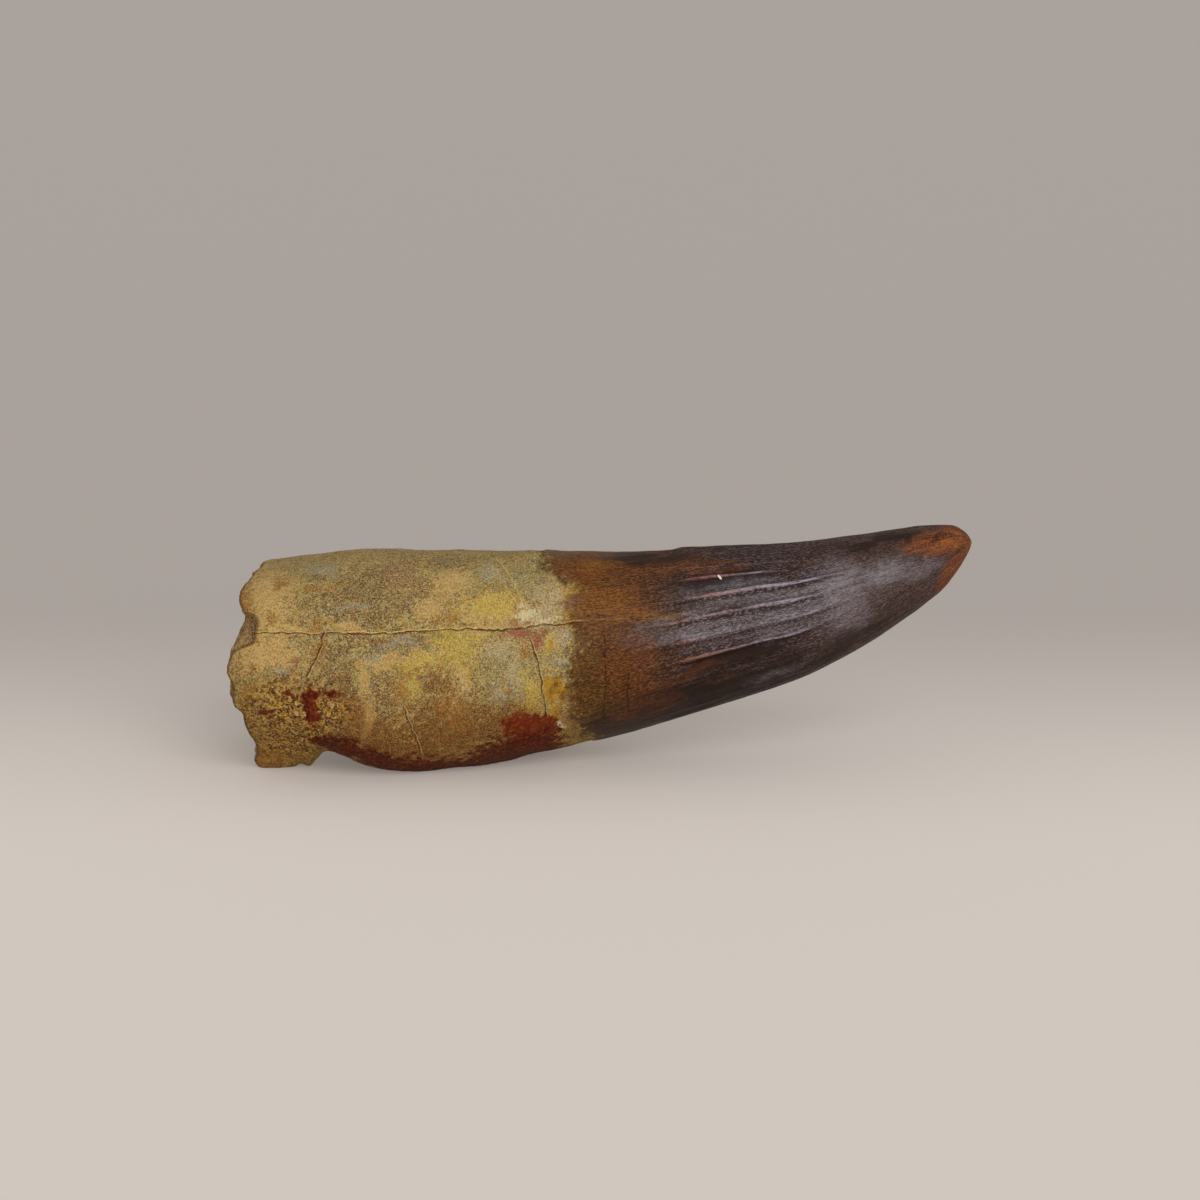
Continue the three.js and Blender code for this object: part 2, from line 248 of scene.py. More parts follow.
def ridges(x, angle):
    """The ridges between the flutes and the thin lines of painted shadow below them, from 0 to about 1.
    They waver a little, and the ones low on the front flank are fainter."""
    around = rolled_out(x / WAVER_LENGTH, angle, WAVER_RADIUS)
    waver = fractal(around, 1, 2, seed=14)
    strength = fractal(around, 1.3, 2, seed=15)
    share = smoothstep(x, *RIDGES_FADE_IN) * (1 - smoothstep(x, *RIDGES_FADE_OUT))
    up = np.degrees(np.arcsin(np.clip(np.sin(angle), -1, 1))) + waver
    front = np.cos(angle) > 0
    raised, shaded = np.zeros_like(up), np.zeros_like(up)
    for places, here in ((FRONT_RIDGES, front), (BACK_RIDGES, ~front)):
        for place in places:
            raised = np.where(here, np.maximum(raised, nearness(up - place, RIDGE_HALF_WIDTH)), raised)
            below = nearness(up - place + SHADE_BELOW_RIDGE, RIDGE_HALF_WIDTH)
            shaded = np.where(here, np.maximum(shaded, below), shaded)
    faint = np.where(front, 0.3 + 0.7 * smoothstep(up, -26, -8) * (1 - smoothstep(up, 48, 56)), 0.8)
    share = share * faint * np.clip(1 + 1.1 * strength, 0.3, 1.6)
    return share * raised, share * shaded


def swell(x, angle):
    """Low swells of the root."""
    root_share = 1 - smoothstep(x, -12, 4)
    slow = SLOW_SWELL * np.sin(0.21 * x + 2 * angle) * np.cos(3 * angle + 0.9)
    quick = QUICK_SWELL * np.sin(0.55 * x + 1.7) * np.sin(5 * angle + 0.08 * x)
    return root_share * (slow + quick)


def seen(points, side):
    """Where a point is seen from the front (side 1) or from behind (side -1), in millimetres
    to the right of the tooth's middle and above the ground line."""
    cos, sin = math.cos(CAMERA_ELEVATION), math.sin(CAMERA_ELEVATION)
    x = points[..., 0]
    y = points[..., 1] * side
    z = points[..., 2] - AIM_HEIGHT
    away = CAMERA_DISTANCE + y * cos - z * sin
    scale = CAMERA_DISTANCE / away
    return x * scale, (z * cos + y * sin) * scale + GROUND_LINE


# The stains, seen from the front, with the painted highlight and painted shade of the crown: ellipses in
# millimetres, with their tilt in degrees
Stain = namedtuple("Stain", "x height half_length half_height tilt", defaults=[0])

FRONT_STAINS = {
    "cream": [
        (-54, 28, 4, 4.6), (-51.6, 22.8, 5, 0.8), (-41.5, 22.9, 2.4, 0.6), (-53.6, 18.4, 5.6, 2.8),
        (-38, 14.6, 1.2, 3.4), (-37.8, 8.5, 1, 3.6, -4), (-56, 21.6, 2, 3), (-55.6, 24.2, 2.4, 2),
        (-34.5, 17.2, 3.8, 1.3, 4), (-29, 18.2, 3.6, 1.3, 8), (-22.6, 14.6, 0.8, 2), (-17.5, 25, 6, 2.8),
        (-27.6, 26, 2.6, 1.6, 10), (-24, 30, 3, 2, 10),
    ],
    "yellow": [
        (-17.8, 26, 5, 2.2, 4), (-23.4, 19.6, 3.4, 3.8), (-28.6, 18, 3, 1.2, 8), (-8.2, 20, 0.9, 1.5),
        (-7.2, 12.6, 2, 2), (-8.4, 9.6, 0.8, 1.4), (-4.6, 26, 1.4, 1.8), (-55.6, 12.8, 3, 2),
        (-30.4, 12.6, 1.8, 1.8), (-30.4, 15.8, 2.6, 1, 6), (-11.4, 12.4, 1.6, 3),
    ],
    "ochre": [
        (-53.6, 24.3, 1.1, 1), (-52, 29.9, 1.4, 1.1), (-46.4, 23.3, 0.9, 0.9), (-46.6, 29, 1.6, 0.4),
        (-42.6, 29.6, 1.6, 0.5, 20), (-24.6, 24, 2, 0.9, 8), (-45.4, 19.2, 3.2, 0.5, 62), (-57, 11, 1.6, 4),
        (-13.6, 25, 0.9, 1.9, -12), (-32.4, 12.6, 1.8, 3, -10), (-23.8, 9, 2.6, 3.4), (-41, 9.3, 1.8, 2.2),
        (-54.2, 2, 2.2, 1.2), (-26.3, 16, 2.3, 0.7), (-15, 13, 1, 1), (-12.4, 18.8, 1.8, 1.6),
        (-57.4, 27, 1.1, 4, 10), (-7.2, 12.8, 1.6, 1.8), (-53.4, 1.6, 3.4, 1), (-4.6, 25.6, 1.4, 1.6),
    ],
    "rust": [
        (-46.8, 28.8, 1.5, 0.28), (-43.2, 29.2, 1.4, 0.34, 18), (-52, 29.9, 0.8, 0.6),
        (-53.6, 24.4, 0.6, 0.7), (-46.2, 23.3, 0.7, 0.6), (-45, 19.4, 2.6, 0.42, 66),
        (-24.6, 23.8, 1.6, 0.5, 8), (-13.6, 24.9, 0.6, 1.6, -12), (-26.3, 16, 1.6, 0.3),
        (-15, 12.4, 0.5, 0.5), (-12.3, 18.7, 0.6, 0.5), (-54, 1, 3, 0.6), (-40.6, 9, 1.4, 1.8),
        (-58, 27.4, 0.8, 3, 6), (-56.6, 12.6, 1.2, 2.4),
    ],
    "rose": [
        (-12, 21.6, 3, 1.2, -4), (-9.8, 20.4, 1.2, 1.6), (-7.6, 27.6, 3.6, 2.2), (-32.4, 31, 2.6, 2.8),
        (-53.6, 18, 5, 2.4), (-22, 12, 2, 1), (-43, 8, 2, 1.4), (-56, 30, 2, 1.6, 30),
    ],
    "umber": [
        (-24, 6.4, 9, 3.8, 4), (-37, 5, 8, 3.8, -6), (-41.5, 9, 3.4, 3.6), (-16, 7.6, 5, 3.4, 10),
        (-30, 2, 9, 3), (-3.6, 12, 1.8, 5), (-2.6, 21, 1.6, 3.6), (-4, 7.6, 3, 2, 14), (-41.6, 10.6, 2.2, 4),
        (-26.6, 13.4, 2, 1.4), (-14.4, 5, 3, 1.4), (55.2, 37.5, 1.8, 0.5, 14), (57.4, 34.4, 1.6, 0.3, 40),
    ],
    "shade": [
        (-42, 26.8, 5, 1.7), (-32.6, 31, 3.4, 2.8), (-33, 20.2, 5.4, 1.6, 4), (-36.3, 18.2, 1.2, 1.2),
        (-41.6, 16.5, 2.8, 4.2), (-35.4, 9.6, 2, 5), (-27.8, 14.3, 3, 1.2), (-18.6, 6.6, 3.4, 2.4, 20),
        (-44.7, 32, 2.6, 1.4), (-24.7, 33.2, 3, 1.2), (-30, 26.6, 4, 2.4), (-38, 24.8, 5, 1.2),
        (-37, 28.6, 8, 2.8), (-41, 12.8, 2.4, 2.4), (-36.2, 6.6, 2.4, 4),
    ],
    "green": [
        (-15.2, 15.6, 4.8, 6, -6), (-11.2, 31, 3.8, 2.6), (-6.5, 16.7, 1.6, 1.2), (-6, 14.4, 2, 0.5, -20),
        (-2.6, 5, 3.4, 2), (-19.6, 31, 3.6, 2), (-46, 33, 4, 1.2, 4),
    ],
    # pale stains of the root; the last two entries, on the crown, paint the brightest core of its highlight
    "pale": [
        (-7.3, 27.4, 3.5, 2.3), (-5.6, 20.8, 2.1, 1.6), (-10, 24.6, 4, 1.4, 8), (-16, 19.8, 3, 1.6, 10),
        (-13.4, 15.4, 1.2, 3.4), (-5.8, 6.8, 1.8, 1.2, -40), (39, 28, 3.4, 3.8, 24), (47, 31.4, 3, 1, 22),
    ],
    "blue": [
        (-6.4, 17, 1.6, 1), (-6.2, 14.4, 1.8, 0.5, -20), (-5, 21, 1.3, 0.9), (-40.8, 26.3, 3.2, 0.5, 4),
        (-51.8, 15.9, 0.9, 0.7), (-36.4, 18.2, 1.4, 1), (-33, 20.3, 3, 0.6, 4), (-44.7, 32.2, 2, 0.8),
        (-15.4, 12, 2.4, 1.4, 20), (-18, 31.6, 2.4, 0.9, -20), (-5.2, 11.2, 0.7, 1.6, 10),
    ],
    "white": [
        (-11.9, 25, 1.5, 0.7, 8), (-8.8, 24, 1.5, 0.4, 12), (-6.2, 6.6, 0.8, 0.3, -50),
        (-12.6, 26.2, 0.6, 0.5),
    ],
    "pink": [
        (-12.8, 22, 2.6, 0.5, -4), (-9.8, 21.2, 0.9, 1), (-49.6, 17.5, 1, 0.4, -20),
        (-10.6, 23.7, 3, 0.3, 12), (-22.8, 11.6, 0.6, 0.25, 30),
    ],
    "brick": [
        (-46.8, 12, 1.5, 0.9), (-46.8, 9.4, 1.1, 3.2), (-43.6, 12.1, 1.4, 0.7, -8),
        (-50.6, 12.5, 0.6, 0.4, 30), (-49.6, 11.8, 0.4, 0.5), (-51.6, 11, 0.5, 0.4), (-54, 9, 1.6, 0.3, 20),
        (-11.2, 6.2, 4.6, 2.6), (-8.6, 6.2, 1.9, 2.6), (-14.4, 7, 1.6, 1.4),
    ],
    "maroon": [
        (-44.4, 4.4, 2.6, 0.9, 4), (-41, 3.2, 3.6, 1.7, -14), (-36, 1.2, 4.4, 1.7, -12), (-29, -0.6, 6, 2.3),
        (-22, -0.6, 6, 2.2, 4), (-15.6, 1.6, 5.5, 3, 14), (-11, 3, 5.5, 2.8, 12), (-46.8, 12, 1.2, 0.6),
        (-47.4, 10, 0.4, 2), (-43.4, 12.1, 1, 0.4, -8),
    ],
    "rough": [(-51.4, 9.5, 5.2, 5), (-46.4, 9, 4.6, 4.6), (-50, 4.4, 4.4, 2.4), (-42.8, 9, 2, 2)],
    "amber": [
        (-3, 30, 4, 5), (2, 26, 6, 4, 6), (1, 31.4, 5, 0.5, 4), (20.4, 31.5, 3, 0.4, 6),
        (14, 32.6, 8, 1.2, 5), (8.5, 13.6, 5, 0.6, 12), (8, 10.4, 5, 1.2, 14), (4, 18, 4, 5),
        (16, 16.4, 5, 0.4, 16), (51, 36, 2.4, 0.8, 10), (13, 14, 4, 0.5, 17), (20, 14.4, 3, 0.3, 19),
    ],
    "gold": [
        (-2.6, 27, 3.2, 3.2), (2, 26, 4, 2.2, 4), (-1, 32.6, 3, 1), (9, 24.6, 4, 0.6, 6),
        (-7.2, 12.6, 1.7, 2), (-7.8, 9.4, 0.7, 1.2), (-4.8, 25.8, 1.2, 1.5), (-8, 19.6, 0.5, 1),
    ],
    "olive": [(-1.6, 14, 3.4, 7.4), (0, 6.4, 4.6, 2.4, 12), (-3.4, 20.6, 1.6, 2.4)],
    # painted highlight: a grey-lilac bloom of reflected light painted on the crown, where the enamel also
    # gets more coat
    "polish_and_painted_highlight": [
        (38.8, 27.4, 4.6, 5, 24), (46, 30.8, 4.4, 2.2, 22), (51.6, 32.2, 3.4, 1.2, 20),
        (31, 25.6, 8, 2.8, 10), (16, 22.8, 9, 2.2, 10), (28.4, 15.6, 4, 0.8, 18), (22, 28.6, 8, 1.4, 8),
    ],
    # painted shade: darker bands low on the crown and along its top, where less light falls
    "painted_shade": [
        (14, 11, 12, 3.6, 18), (26, 14.6, 9, 3, 22), (4, 6.4, 8, 3, 10), (40, 20.6, 8, 1.6, 32),
        (46, 36.6, 9, 0.9, 8), (8, 33.6, 8, 1), (20, 30, 8, 1.6, 5), (22, 12, 12, 2.4, 20),
        (22, 18.6, 9, 1.6, 16),
    ],
    "worn": [
        (54.8, 36.4, 4.2, 1.9, 6), (58.4, 35, 1.8, 2.8, 30), (56.8, 31.8, 3.4, 1.3, 55),
        (51, 35.4, 2, 0.7, 12), (57.6, 37.8, 2.4, 1.2, -20), (59.8, 36.2, 2, 1.8),
    ],
}

# The stains of the back flank, seen from behind, with its painted highlight and painted shade
BACK_STAINS = {
    "cream": [
        (-52, 26, 5, 4), (-44, 30, 5, 1.2, 4), (-33, 24, 6, 2.6, 8), (-24, 12, 1.4, 5, 10),
        (-48, 12, 3, 2.4), (-14, 28, 3, 2),
    ],
    "yellow": [
        (-41, 21.5, 4, 1.4, -6), (-19, 25.6, 4.6, 2, 6), (-12, 14, 1.6, 3.4, 10), (-30, 8, 3.6, 1),
        (-6, 24, 1.3, 3), (-56, 20, 1.8, 3),
    ],
    "ochre": [
        (-36, 12, 5, 3, 8), (-17, 20, 3, 1.6), (-46, 18, 2.4, 1), (-27, 30, 3.6, 1.2, 4), (-8, 9, 2.4, 1.8),
        (-50, 30, 1.6, 1), (-22, 5, 5, 1.4),
    ],
    "shade": [
        (-44, 25, 4, 2.4), (-28, 19, 5, 2, 8), (-38, 31, 4.4, 1.8), (-18, 11, 2.6, 3.6), (-52, 8, 3, 2),
        (-10, 31, 3, 1.6),
    ],
    "rust": [
        (-36, 12, 3, 1.2, 8), (-17, 21, 2, 0.6), (-46, 15.6, 1.6, 0.6), (-50, 29, 1, 0.7),
        (-27, 30, 2.4, 0.5, 4), (-9, 9.6, 1.6, 1.2), (-5, 22, 0.8, 1.6), (-38.4, 21.6, 2, 0.4, 62),
    ],
    "rose": [(-50, 24, 4, 3), (-22, 30, 5, 1.6), (-15, 9, 3, 1.6), (-33, 14, 3, 1.2, 20)],
    "umber": [(-24, 6, 10, 3, 4), (-42, 8, 5, 3, -8), (-10, 9, 4, 2.4, 10), (-3.4, 18, 1.8, 6)],
    "green": [(-13, 22, 3.4, 3), (-40, 8, 3.4, 2.6), (-8, 16, 1.8, 3), (-31, 28, 2, 1.4)],
    "pale": [(-9, 27.6, 2.4, 2), (-26, 24, 1.8, 1.2), (-46, 14, 1.6, 1), (-5.6, 12, 1.6, 1.6)],
    "blue": [(-13, 20, 2.4, 1.2), (-40, 27, 3, 0.6, 6), (-7, 22, 1.2, 1), (-30, 22, 2, 0.8)],
    "pink": [(-28, 16, 2.4, 0.6, 10), (-24.4, 13, 0.7, 1.6), (-11, 19.4, 2, 0.5), (-37, 24, 0.5, 1.6)],
    "white": [(-22, 19, 2, 0.5, 10), (-52, 19.6, 1.4, 0.4, -8)],
    "brick": [(-9, 5.6, 3, 1.6, 10), (-48.6, 8, 1, 1.8), (-43, 10, 1.4, 0.6), (-13, 4.6, 2.4, 1.2)],
    "maroon": [(-42, 3.4, 3.6, 1.2, -14), (-32, 0.6, 6, 1.8), (-20, 1.2, 6, 2, 8), (-12, 3, 4, 1.6, 12)],
    "rough": [(-54, 13, 4, 5), (-48, 5, 6, 3.4), (-34, 6, 4, 2)],
    "amber": [
        (-1, 27, 4, 5), (4, 14, 5, 4, 10), (14, 30, 9, 1.6, 5), (24, 18, 7, 1, 14), (34, 33, 6, 0.9, 8),
    ],
    "gold": [(-2, 24, 3.6, 3), (3, 11, 4, 2, 10), (8, 29, 5, 0.8, 5)],
    "olive": [(-1.6, 15, 3.4, 6), (1, 31, 4, 1.6, 4)],
    # painted highlight on the back of the crown
    "polish_and_painted_highlight": [(30, 26, 8, 3, 10), (47, 31, 4, 2, 18), (14, 20, 5, 3, 8)],
    # painted shade low on the back of the crown and along its top
    "painted_shade": [(12, 10, 10, 2.6, 16), (30, 18, 9, 2.6, 24), (20, 34, 14, 1.4, 4), (44, 27, 8, 2, 30)],
    "worn": [
        (56.4, 37, 3, 1.4, 8), (58.4, 34.6, 1.2, 1.8, 40), (59.8, 36.2, 2, 1.8), (57.2, 32.6, 3, 1.3, 55),
    ],
}

# Cracks, each a line of (x, height) with half its width in millimetres, how red it is, and how
# pale its upper lip is. The long cracks run to the break, and the short ones branch off or stand alone.
Crack = namedtuple("Crack", "line half_width red lip", defaults=[0, 0])

FRONT_CRACKS = {
    "long": [
        ([(-62, 22), (-53, 22), (-47, 21.9)], 0.07, 0.8, 0.8),
        ([(-47, 21.9), (-44, 22), (-38, 21.9)], 0.1, 1, 1),
        ([(-38, 21.9), (-32, 22.1), (-25, 22.5), (-20, 22.7)], 0.08, 0.6, 1),
        ([(-20, 22.7), (-16, 22.5), (-13.6, 22.6)], 0.1, 0.2, 0.7),
        ([(-13.6, 22.6), (-11, 23.2), (-7, 23.5), (-3, 23.8)], 0.1, 1, 0.6),
        ([(-3, 23.8), (1, 23.9), (4.6, 24.1)], 0.02, 0, 0.16),
    ],
    "short": [
        ([(-44.8, 21.8), (-45.4, 19.6), (-46.6, 17), (-47.4, 15.2)], 0.12, 0.9, 1),
        ([(-31.8, 9.6), (-30.4, 6), (-29, 2.2)], 0.06, 0.4, 0.6),
        ([(-11, 20.4), (-10, 17), (-9.4, 13.4), (-8.6, 8.6)], 0.06, 0.2, 0.5),
        ([(0.7, 21.6), (1, 14), (0.5, 8.4)], 0.035),
        ([(4.6, 15.4), (4.4, 12.4), (4.7, 9.4)], 0.035),
        ([(-4.2, 24.6), (-3.7, 26.2), (-3.9, 27.4)], 0.025),
        ([(-17, 34), (-15.4, 32.2), (-14, 30), (-12.8, 27)], 0.02, 0, 0.5),
        ([(21.3, 23.6), (21.6, 23), (21.4, 22.5)], 0.04),
    ],
}
BACK_CRACKS = {
    "long": [
        ([(-62, 17.4), (-52, 18.8), (-41, 17.2), (-33, 16.4)], 0.06, 0.2, 0.9),
        ([(-33, 16.4), (-24, 17.6), (-14, 16.8)], 0.08, 0.9, 0.7),
    ],
    "short": [
        ([(-40, 17), (-37.6, 21), (-37, 24), (-34.4, 27)], 0.06, 0.7, 0.8),
        ([(-24, 17.4), (-25, 14), (-23.6, 10.6)], 0.05, 0.2, 0.6),
        ([(-8.4, 24), (-7.4, 19), (-8, 13.6)], 0.04, 0, 0.4),
        ([(9, 24), (9.6, 18), (9, 13)], 0.025),
    ],
}

# Where the enamel begins, as (height, x), seen from the front and from behind
FRONT_ENAMEL_EDGE = [
    (0, -0.5), (4, -0.2), (6, -1.8), (8.5, -4.6), (12, -5.2), (16, -5.2), (19.5, -3.4), (22, -3.4),
    (24, -4.4), (26.4, -5.6), (28.8, -3.5), (30.4, -5.6), (32, -8.2), (35.5, -9.4),
]
BACK_ENAMEL_EDGE = [
    (0, -1), (5, -2.4), (9, -5.2), (13, -3), (17, -4.4), (21, -2.4), (25, -5), (29, -3.6), (32, -7.6),
    (35.5, -10.5),
]


def turned(right, up, degrees):
    """A place to the right and up, measured along and across a line that is tilted by so many degrees."""
    cos, sin = math.cos(math.radians(degrees)), math.sin(math.radians(degrees))
    return right * cos + up * sin, up * cos - right * sin


def blot_field(places, x, height, warp):
    """1 in the middle of a stain, a half on its border and 0 at twice its size."""
    field = np.zeros_like(x)
    for stain in (Stain(*place) for place in places):
        along, across = turned(x - stain.x + warp[0], height - stain.height + warp[1], stain.tilt)
        away = np.hypot(along / stain.half_length, across / stain.half_height)
        field = np.maximum(field, 1 - 0.5 * away)
    return field


def crack_fields(cracks, x, height, wander):
    """Signed distance to the nearest crack, upwards, with its opening, its redness and its pale lip."""
    near = np.full_like(x, 9.0)
    offset = np.full_like(x, 9.0)
    opening, red, lip = (np.zeros_like(x) for _ in range(3))
    for crack in (Crack(*row) for row in cracks):
        for (x0, h0), (x1, h1) in zip(crack.line, crack.line[1:]):
            run = np.array([x1 - x0, h1 - h0])
            length = np.hypot(*run)
            along = ((x - x0) * run[0] + (height - h0) * run[1]) / length
            side = ((height - h0) * run[0] - (x - x0) * run[1]) / length + wander
            beyond = np.maximum(np.maximum(-along, along - length), 0)
            distance = np.hypot(side, beyond)
            closer = distance < near
            near = np.where(closer, distance, near)
            offset = np.where(closer, side, offset)
            fade = 1 - smoothstep(beyond, 0, 0.7)
            opening = np.where(closer, crack.half_width * fade, opening)
            red = np.where(closer, crack.red, red)
            lip = np.where(closer, crack.lip * fade, lip)
    return offset, opening * (1 - smoothstep(near, 1.2, 2)), red, lip


# Points of the skin: how many stations along the root, the crown and the tip, columns round them and
# rings of the broken face, and then places along the tooth, in millimetres
ROOT_STATIONS = 165
CROWN_STATIONS = 150
TIP_STATIONS = 50
COLUMNS = 240
FACE_RINGS = 20
CROWN_FROM = -4.0
TIP_FROM = 48.0
FIRST_STATION = 0.1 - HALF_LENGTH
LAST_STATION = HALF_LENGTH - 0.04
NEAR_BREAK = -56.0


def build_points():
    """Bare points of the side, as arrays of stations by columns, and the columns' angles."""
    angle = -TURN / 4 + TURN * np.arange(COLUMNS) / COLUMNS
    guess = section(np.full(COLUMNS, NEAR_BREAK), angle)
    edge = break_face(guess[:, 1], guess[:, 2])
    edge_noise = fractal(guess, 1.6, 3, seed=11)
    edge = np.maximum(edge + EDGE_CHIPS * edge_noise, FIRST_STATION)
    share = np.linspace(0, 1, ROOT_STATIONS)
    root = edge[None, :] + (CROWN_FROM - edge[None, :]) * share[:, None]
    crown = np.linspace(CROWN_FROM, TIP_FROM, CROWN_STATIONS + 1)[1:]
    ease = np.sin(np.linspace(0, TURN / 4, TIP_STATIONS + 1)[1:])
    tip = TIP_FROM + (LAST_STATION - TIP_FROM) * ease
    rest = np.repeat(np.concatenate([crown, tip])[:, None], COLUMNS, axis=1)
    x = np.concatenate([root, rest])
    angles = np.repeat(angle[None, :], len(x), axis=0)
    return section(x, angles), x, angles


def flank_shares(angle):
    """How much of a place belongs to the front flank, as the camera sees it, and how far the front's
    stains, and the back's, reach round the tooth."""
    facing = np.cos(angle - CAMERA_ELEVATION)
    share = smoothstep(facing, -0.15, 0.15)
    return share, smoothstep(facing, -0.4, -0.1), smoothstep(-facing, 0.05, 0.3)


# Noise that warps the outlines of the stains, the cracks and the enamel's edge, in millimetres
CLOUD_SIZE = 5
RIPPLE_SIZE = 1.4
CLOUD_WARP = 1.1
RIPPLE_WARP = 0.35
CRACK_WANDER = (0.22, 0.12)
ENAMEL_EDGE_WARP = (0.9, 0.5)

# Stains whose outline is steadier than that of the others, and how much of the warp they take
STEADY_STAINS = ("brick", "maroon", "worn", "white", "pink", "rust")
STEADY_WARP = 0.4

# How many millimetres the enamel's field takes to rise from 0 to 1 across its edge
ENAMEL_FIELD_SPAN = 8


def surface_fields(points, x, angle):
    """Everything that the material and the relief need to know about each point of the side."""
    cloud = [fractal(points, CLOUD_SIZE, 4, seed) for seed in (1, 2)]
    ripple = [fractal(points, RIPPLE_SIZE, 3, seed) for seed in (3, 4)]
    warp = np.stack([CLOUD_WARP * a + RIPPLE_WARP * b for a, b in zip(cloud, ripple)])
    wander = CRACK_WANDER[0] * ripple[0] + CRACK_WANDER[1] * cloud[1]
    front_share, front_reach, back_reach = flank_shares(angle)
    front = seen(points, 1)
    back = seen(points, -1)

    fields = {}
    for name in FRONT_STAINS:
        pull = warp * (STEADY_WARP if name in STEADY_STAINS else 1)
        here = blot_field(FRONT_STAINS[name], *front, pull) * front_reach
        there = blot_field(BACK_STAINS[name], *back, pull) * back_reach
        fields[name] = np.maximum(here, there)

    facing = front_share > 0.5
    for name in FRONT_CRACKS:
        here = crack_fields(FRONT_CRACKS[name], *front, wander)
        there = crack_fields(BACK_CRACKS[name], *back, wander)
        for part, a, b in zip(("offset", "opening", "red", "lip"), here, there):
            fields[f"{name}_{part}"] = np.where(facing, a, b)

    here = front[0] - curve(FRONT_ENAMEL_EDGE)(front[1])
    there = back[0] - curve(BACK_ENAMEL_EDGE)(back[1])
    past_edge = here * front_share + there * (1 - front_share)
    past_edge += ENAMEL_EDGE_WARP[0] * cloud[0] + ENAMEL_EDGE_WARP[1] * ripple[1]
    fields["enamel"] = np.clip(0.5 + past_edge / ENAMEL_FIELD_SPAN, 0, 1)
    fields["ridge"], fields["ridge_shade"] = ridges(x, angle)
    fields["rim"] = nearness(x - x[:1], RIM_REACH)
    for name in ("end", "cavity", "inward"):
        fields[name] = np.zeros_like(x)
    return fields


def side_relief(points, x, angle, fields):
    """How far each point of the side stands out of the bare form."""
    root = 1 - smoothstep(fields["enamel"], 0.46, 0.54)
    rough = smoothstep(fields["rough"], 0.35, 0.6) * root
    wrinkles = fractal(rolled_out(x / WRINKLE_STRETCH, angle, GRAIN_RADIUS), 0.9, 3, seed=5)
    lumps = fractal(points, 7, 4, seed=6)
    pits = fractal(points, 1.1, 3, seed=7)
    worn = smoothstep(fields["worn"], 0.44, 0.56)

    height = swell(x, angle) + ENAMEL_THICKNESS * (1 - root) - ROOT_SINK * root
    height += RIDGE_HEIGHT * fields["ridge"]
    carina_span = smoothstep(x, 2, 14) * (1 - smoothstep(x, 50, 56))
    height += CARINA_HEIGHT * nearness(np.abs(np.cos(angle)), 0.09) * carina_span
    height += root * (LUMP_HEIGHT * lumps + PIT_HEIGHT * pits)
    height += rough * (ROUGH_PIT_HEIGHT * pits - ROUGH_SINK)
    height += (1 - root) * WRINKLE_HEIGHT * wrinkles * (1 - 0.5 * worn)
    height -= worn * (WORN_SINK - WORN_GRAIN * wrinkles)
    height += CRUST_HEIGHT * smoothstep(fields["white"], 0.42, 0.6) * root
    for name in FRONT_CRACKS:
        depth = GROOVE_DEPTHS * fields[f"{name}_opening"]
        height -= depth * np.maximum(0, 1 - np.abs(fields[f"{name}_offset"]) / GROOVE_HALF_WIDTH)
    return height


def displace(points, x, height):
    middle = (top_edge(x) + belly_edge(x)) / 2
    outward = np.stack([np.zeros_like(x), points[..., 1], points[..., 2] - middle], axis=-1)
    outward /= np.maximum(np.linalg.norm(outward, axis=-1, keepdims=True), 1e-6)
    fade = smoothstep(HALF_LENGTH - x, 0.2, 3)
    moved = points + outward * (height * fade)[..., None]
    moved[..., 2] = np.maximum(moved[..., 2], 0)
    return moved


def build_face(rim):
    """Points of the broken end, ring by ring from the rim towards the middle, and their fields."""
    centre = np.array([0, 0, FACE_CENTRE_Z])
    shares = np.linspace(1, 0, FACE_RINGS + 2)[1:-1]
    rings = centre + (rim[None, :, :] - centre) * shares[:, None, None]
    y, z = rings[..., 1], rings[..., 2]
    flat = np.stack([0 * y, y, z], axis=-1)
    coarse = fractal(flat, 3.2, 4, seed=8)
    fine = fractal(flat, 0.9, 3, seed=9)
    inside = smoothstep(1 - shares, 0, 0.12)[:, None]
    x = break_face(y, z) * inside + (1 - inside) * rim[None, :, 0]
    rings[..., 0] = x + inside * (FACE_LUMPS * coarse + FACE_GRAINS * fine)
    broad = fractal(flat, 8, 2, seed=10)
    fields = {
        "end": np.ones_like(y),
        "cavity": np.clip(1.5 - from_cavity(y, z) + 0.12 * coarse + 0.3 * broad, 0, 1),
        "inward": np.repeat(1 - shares[:, None], COLUMNS, axis=1),
    }
    return rings, fields


def tooth_faces(stations, rings):
    """Quads of the side and of the broken end, then the fans that close the tip and the face's middle."""
    column = np.arange(COLUMNS)
    following = (column + 1) % COLUMNS

    def bands(lower, upper):
        corners = [lower + column, lower + following, upper + following, upper + column]
        return np.stack(corners, axis=-1).reshape(-1, 4)

    def fan(first, second, middle):
        return np.stack([first, second, np.full(COLUMNS, middle)], axis=-1)

    row = COLUMNS * np.arange(stations + rings)[:, None]
    tip = COLUMNS * (stations + rings)
    side = bands(row[:stations - 1], row[1:stations])[:, ::-1]
    rim = bands(row[:1], row[stations:stations + 1])
    face = bands(row[stations:-1], row[stations + 1:])
    tip_fan = fan(row[stations - 1] + following, row[stations - 1] + column, tip)
    middle_fan = fan(row[-1] + column, row[-1] + following, tip + 1)
    return [corners for part in (side, rim, face, tip_fan, middle_fan) for corners in part.tolist()]


def add_attribute(mesh, name, values, kind="FLOAT", key="value"):
    attribute = mesh.attributes.new(name, kind, "POINT")
    attribute.data.foreach_set(key, np.ascontiguousarray(values, dtype=np.float32).ravel())


def add_object(name, data):
    thing = bpy.data.objects.new(name, data)
    bpy.context.scene.collection.objects.link(thing)
    return thing


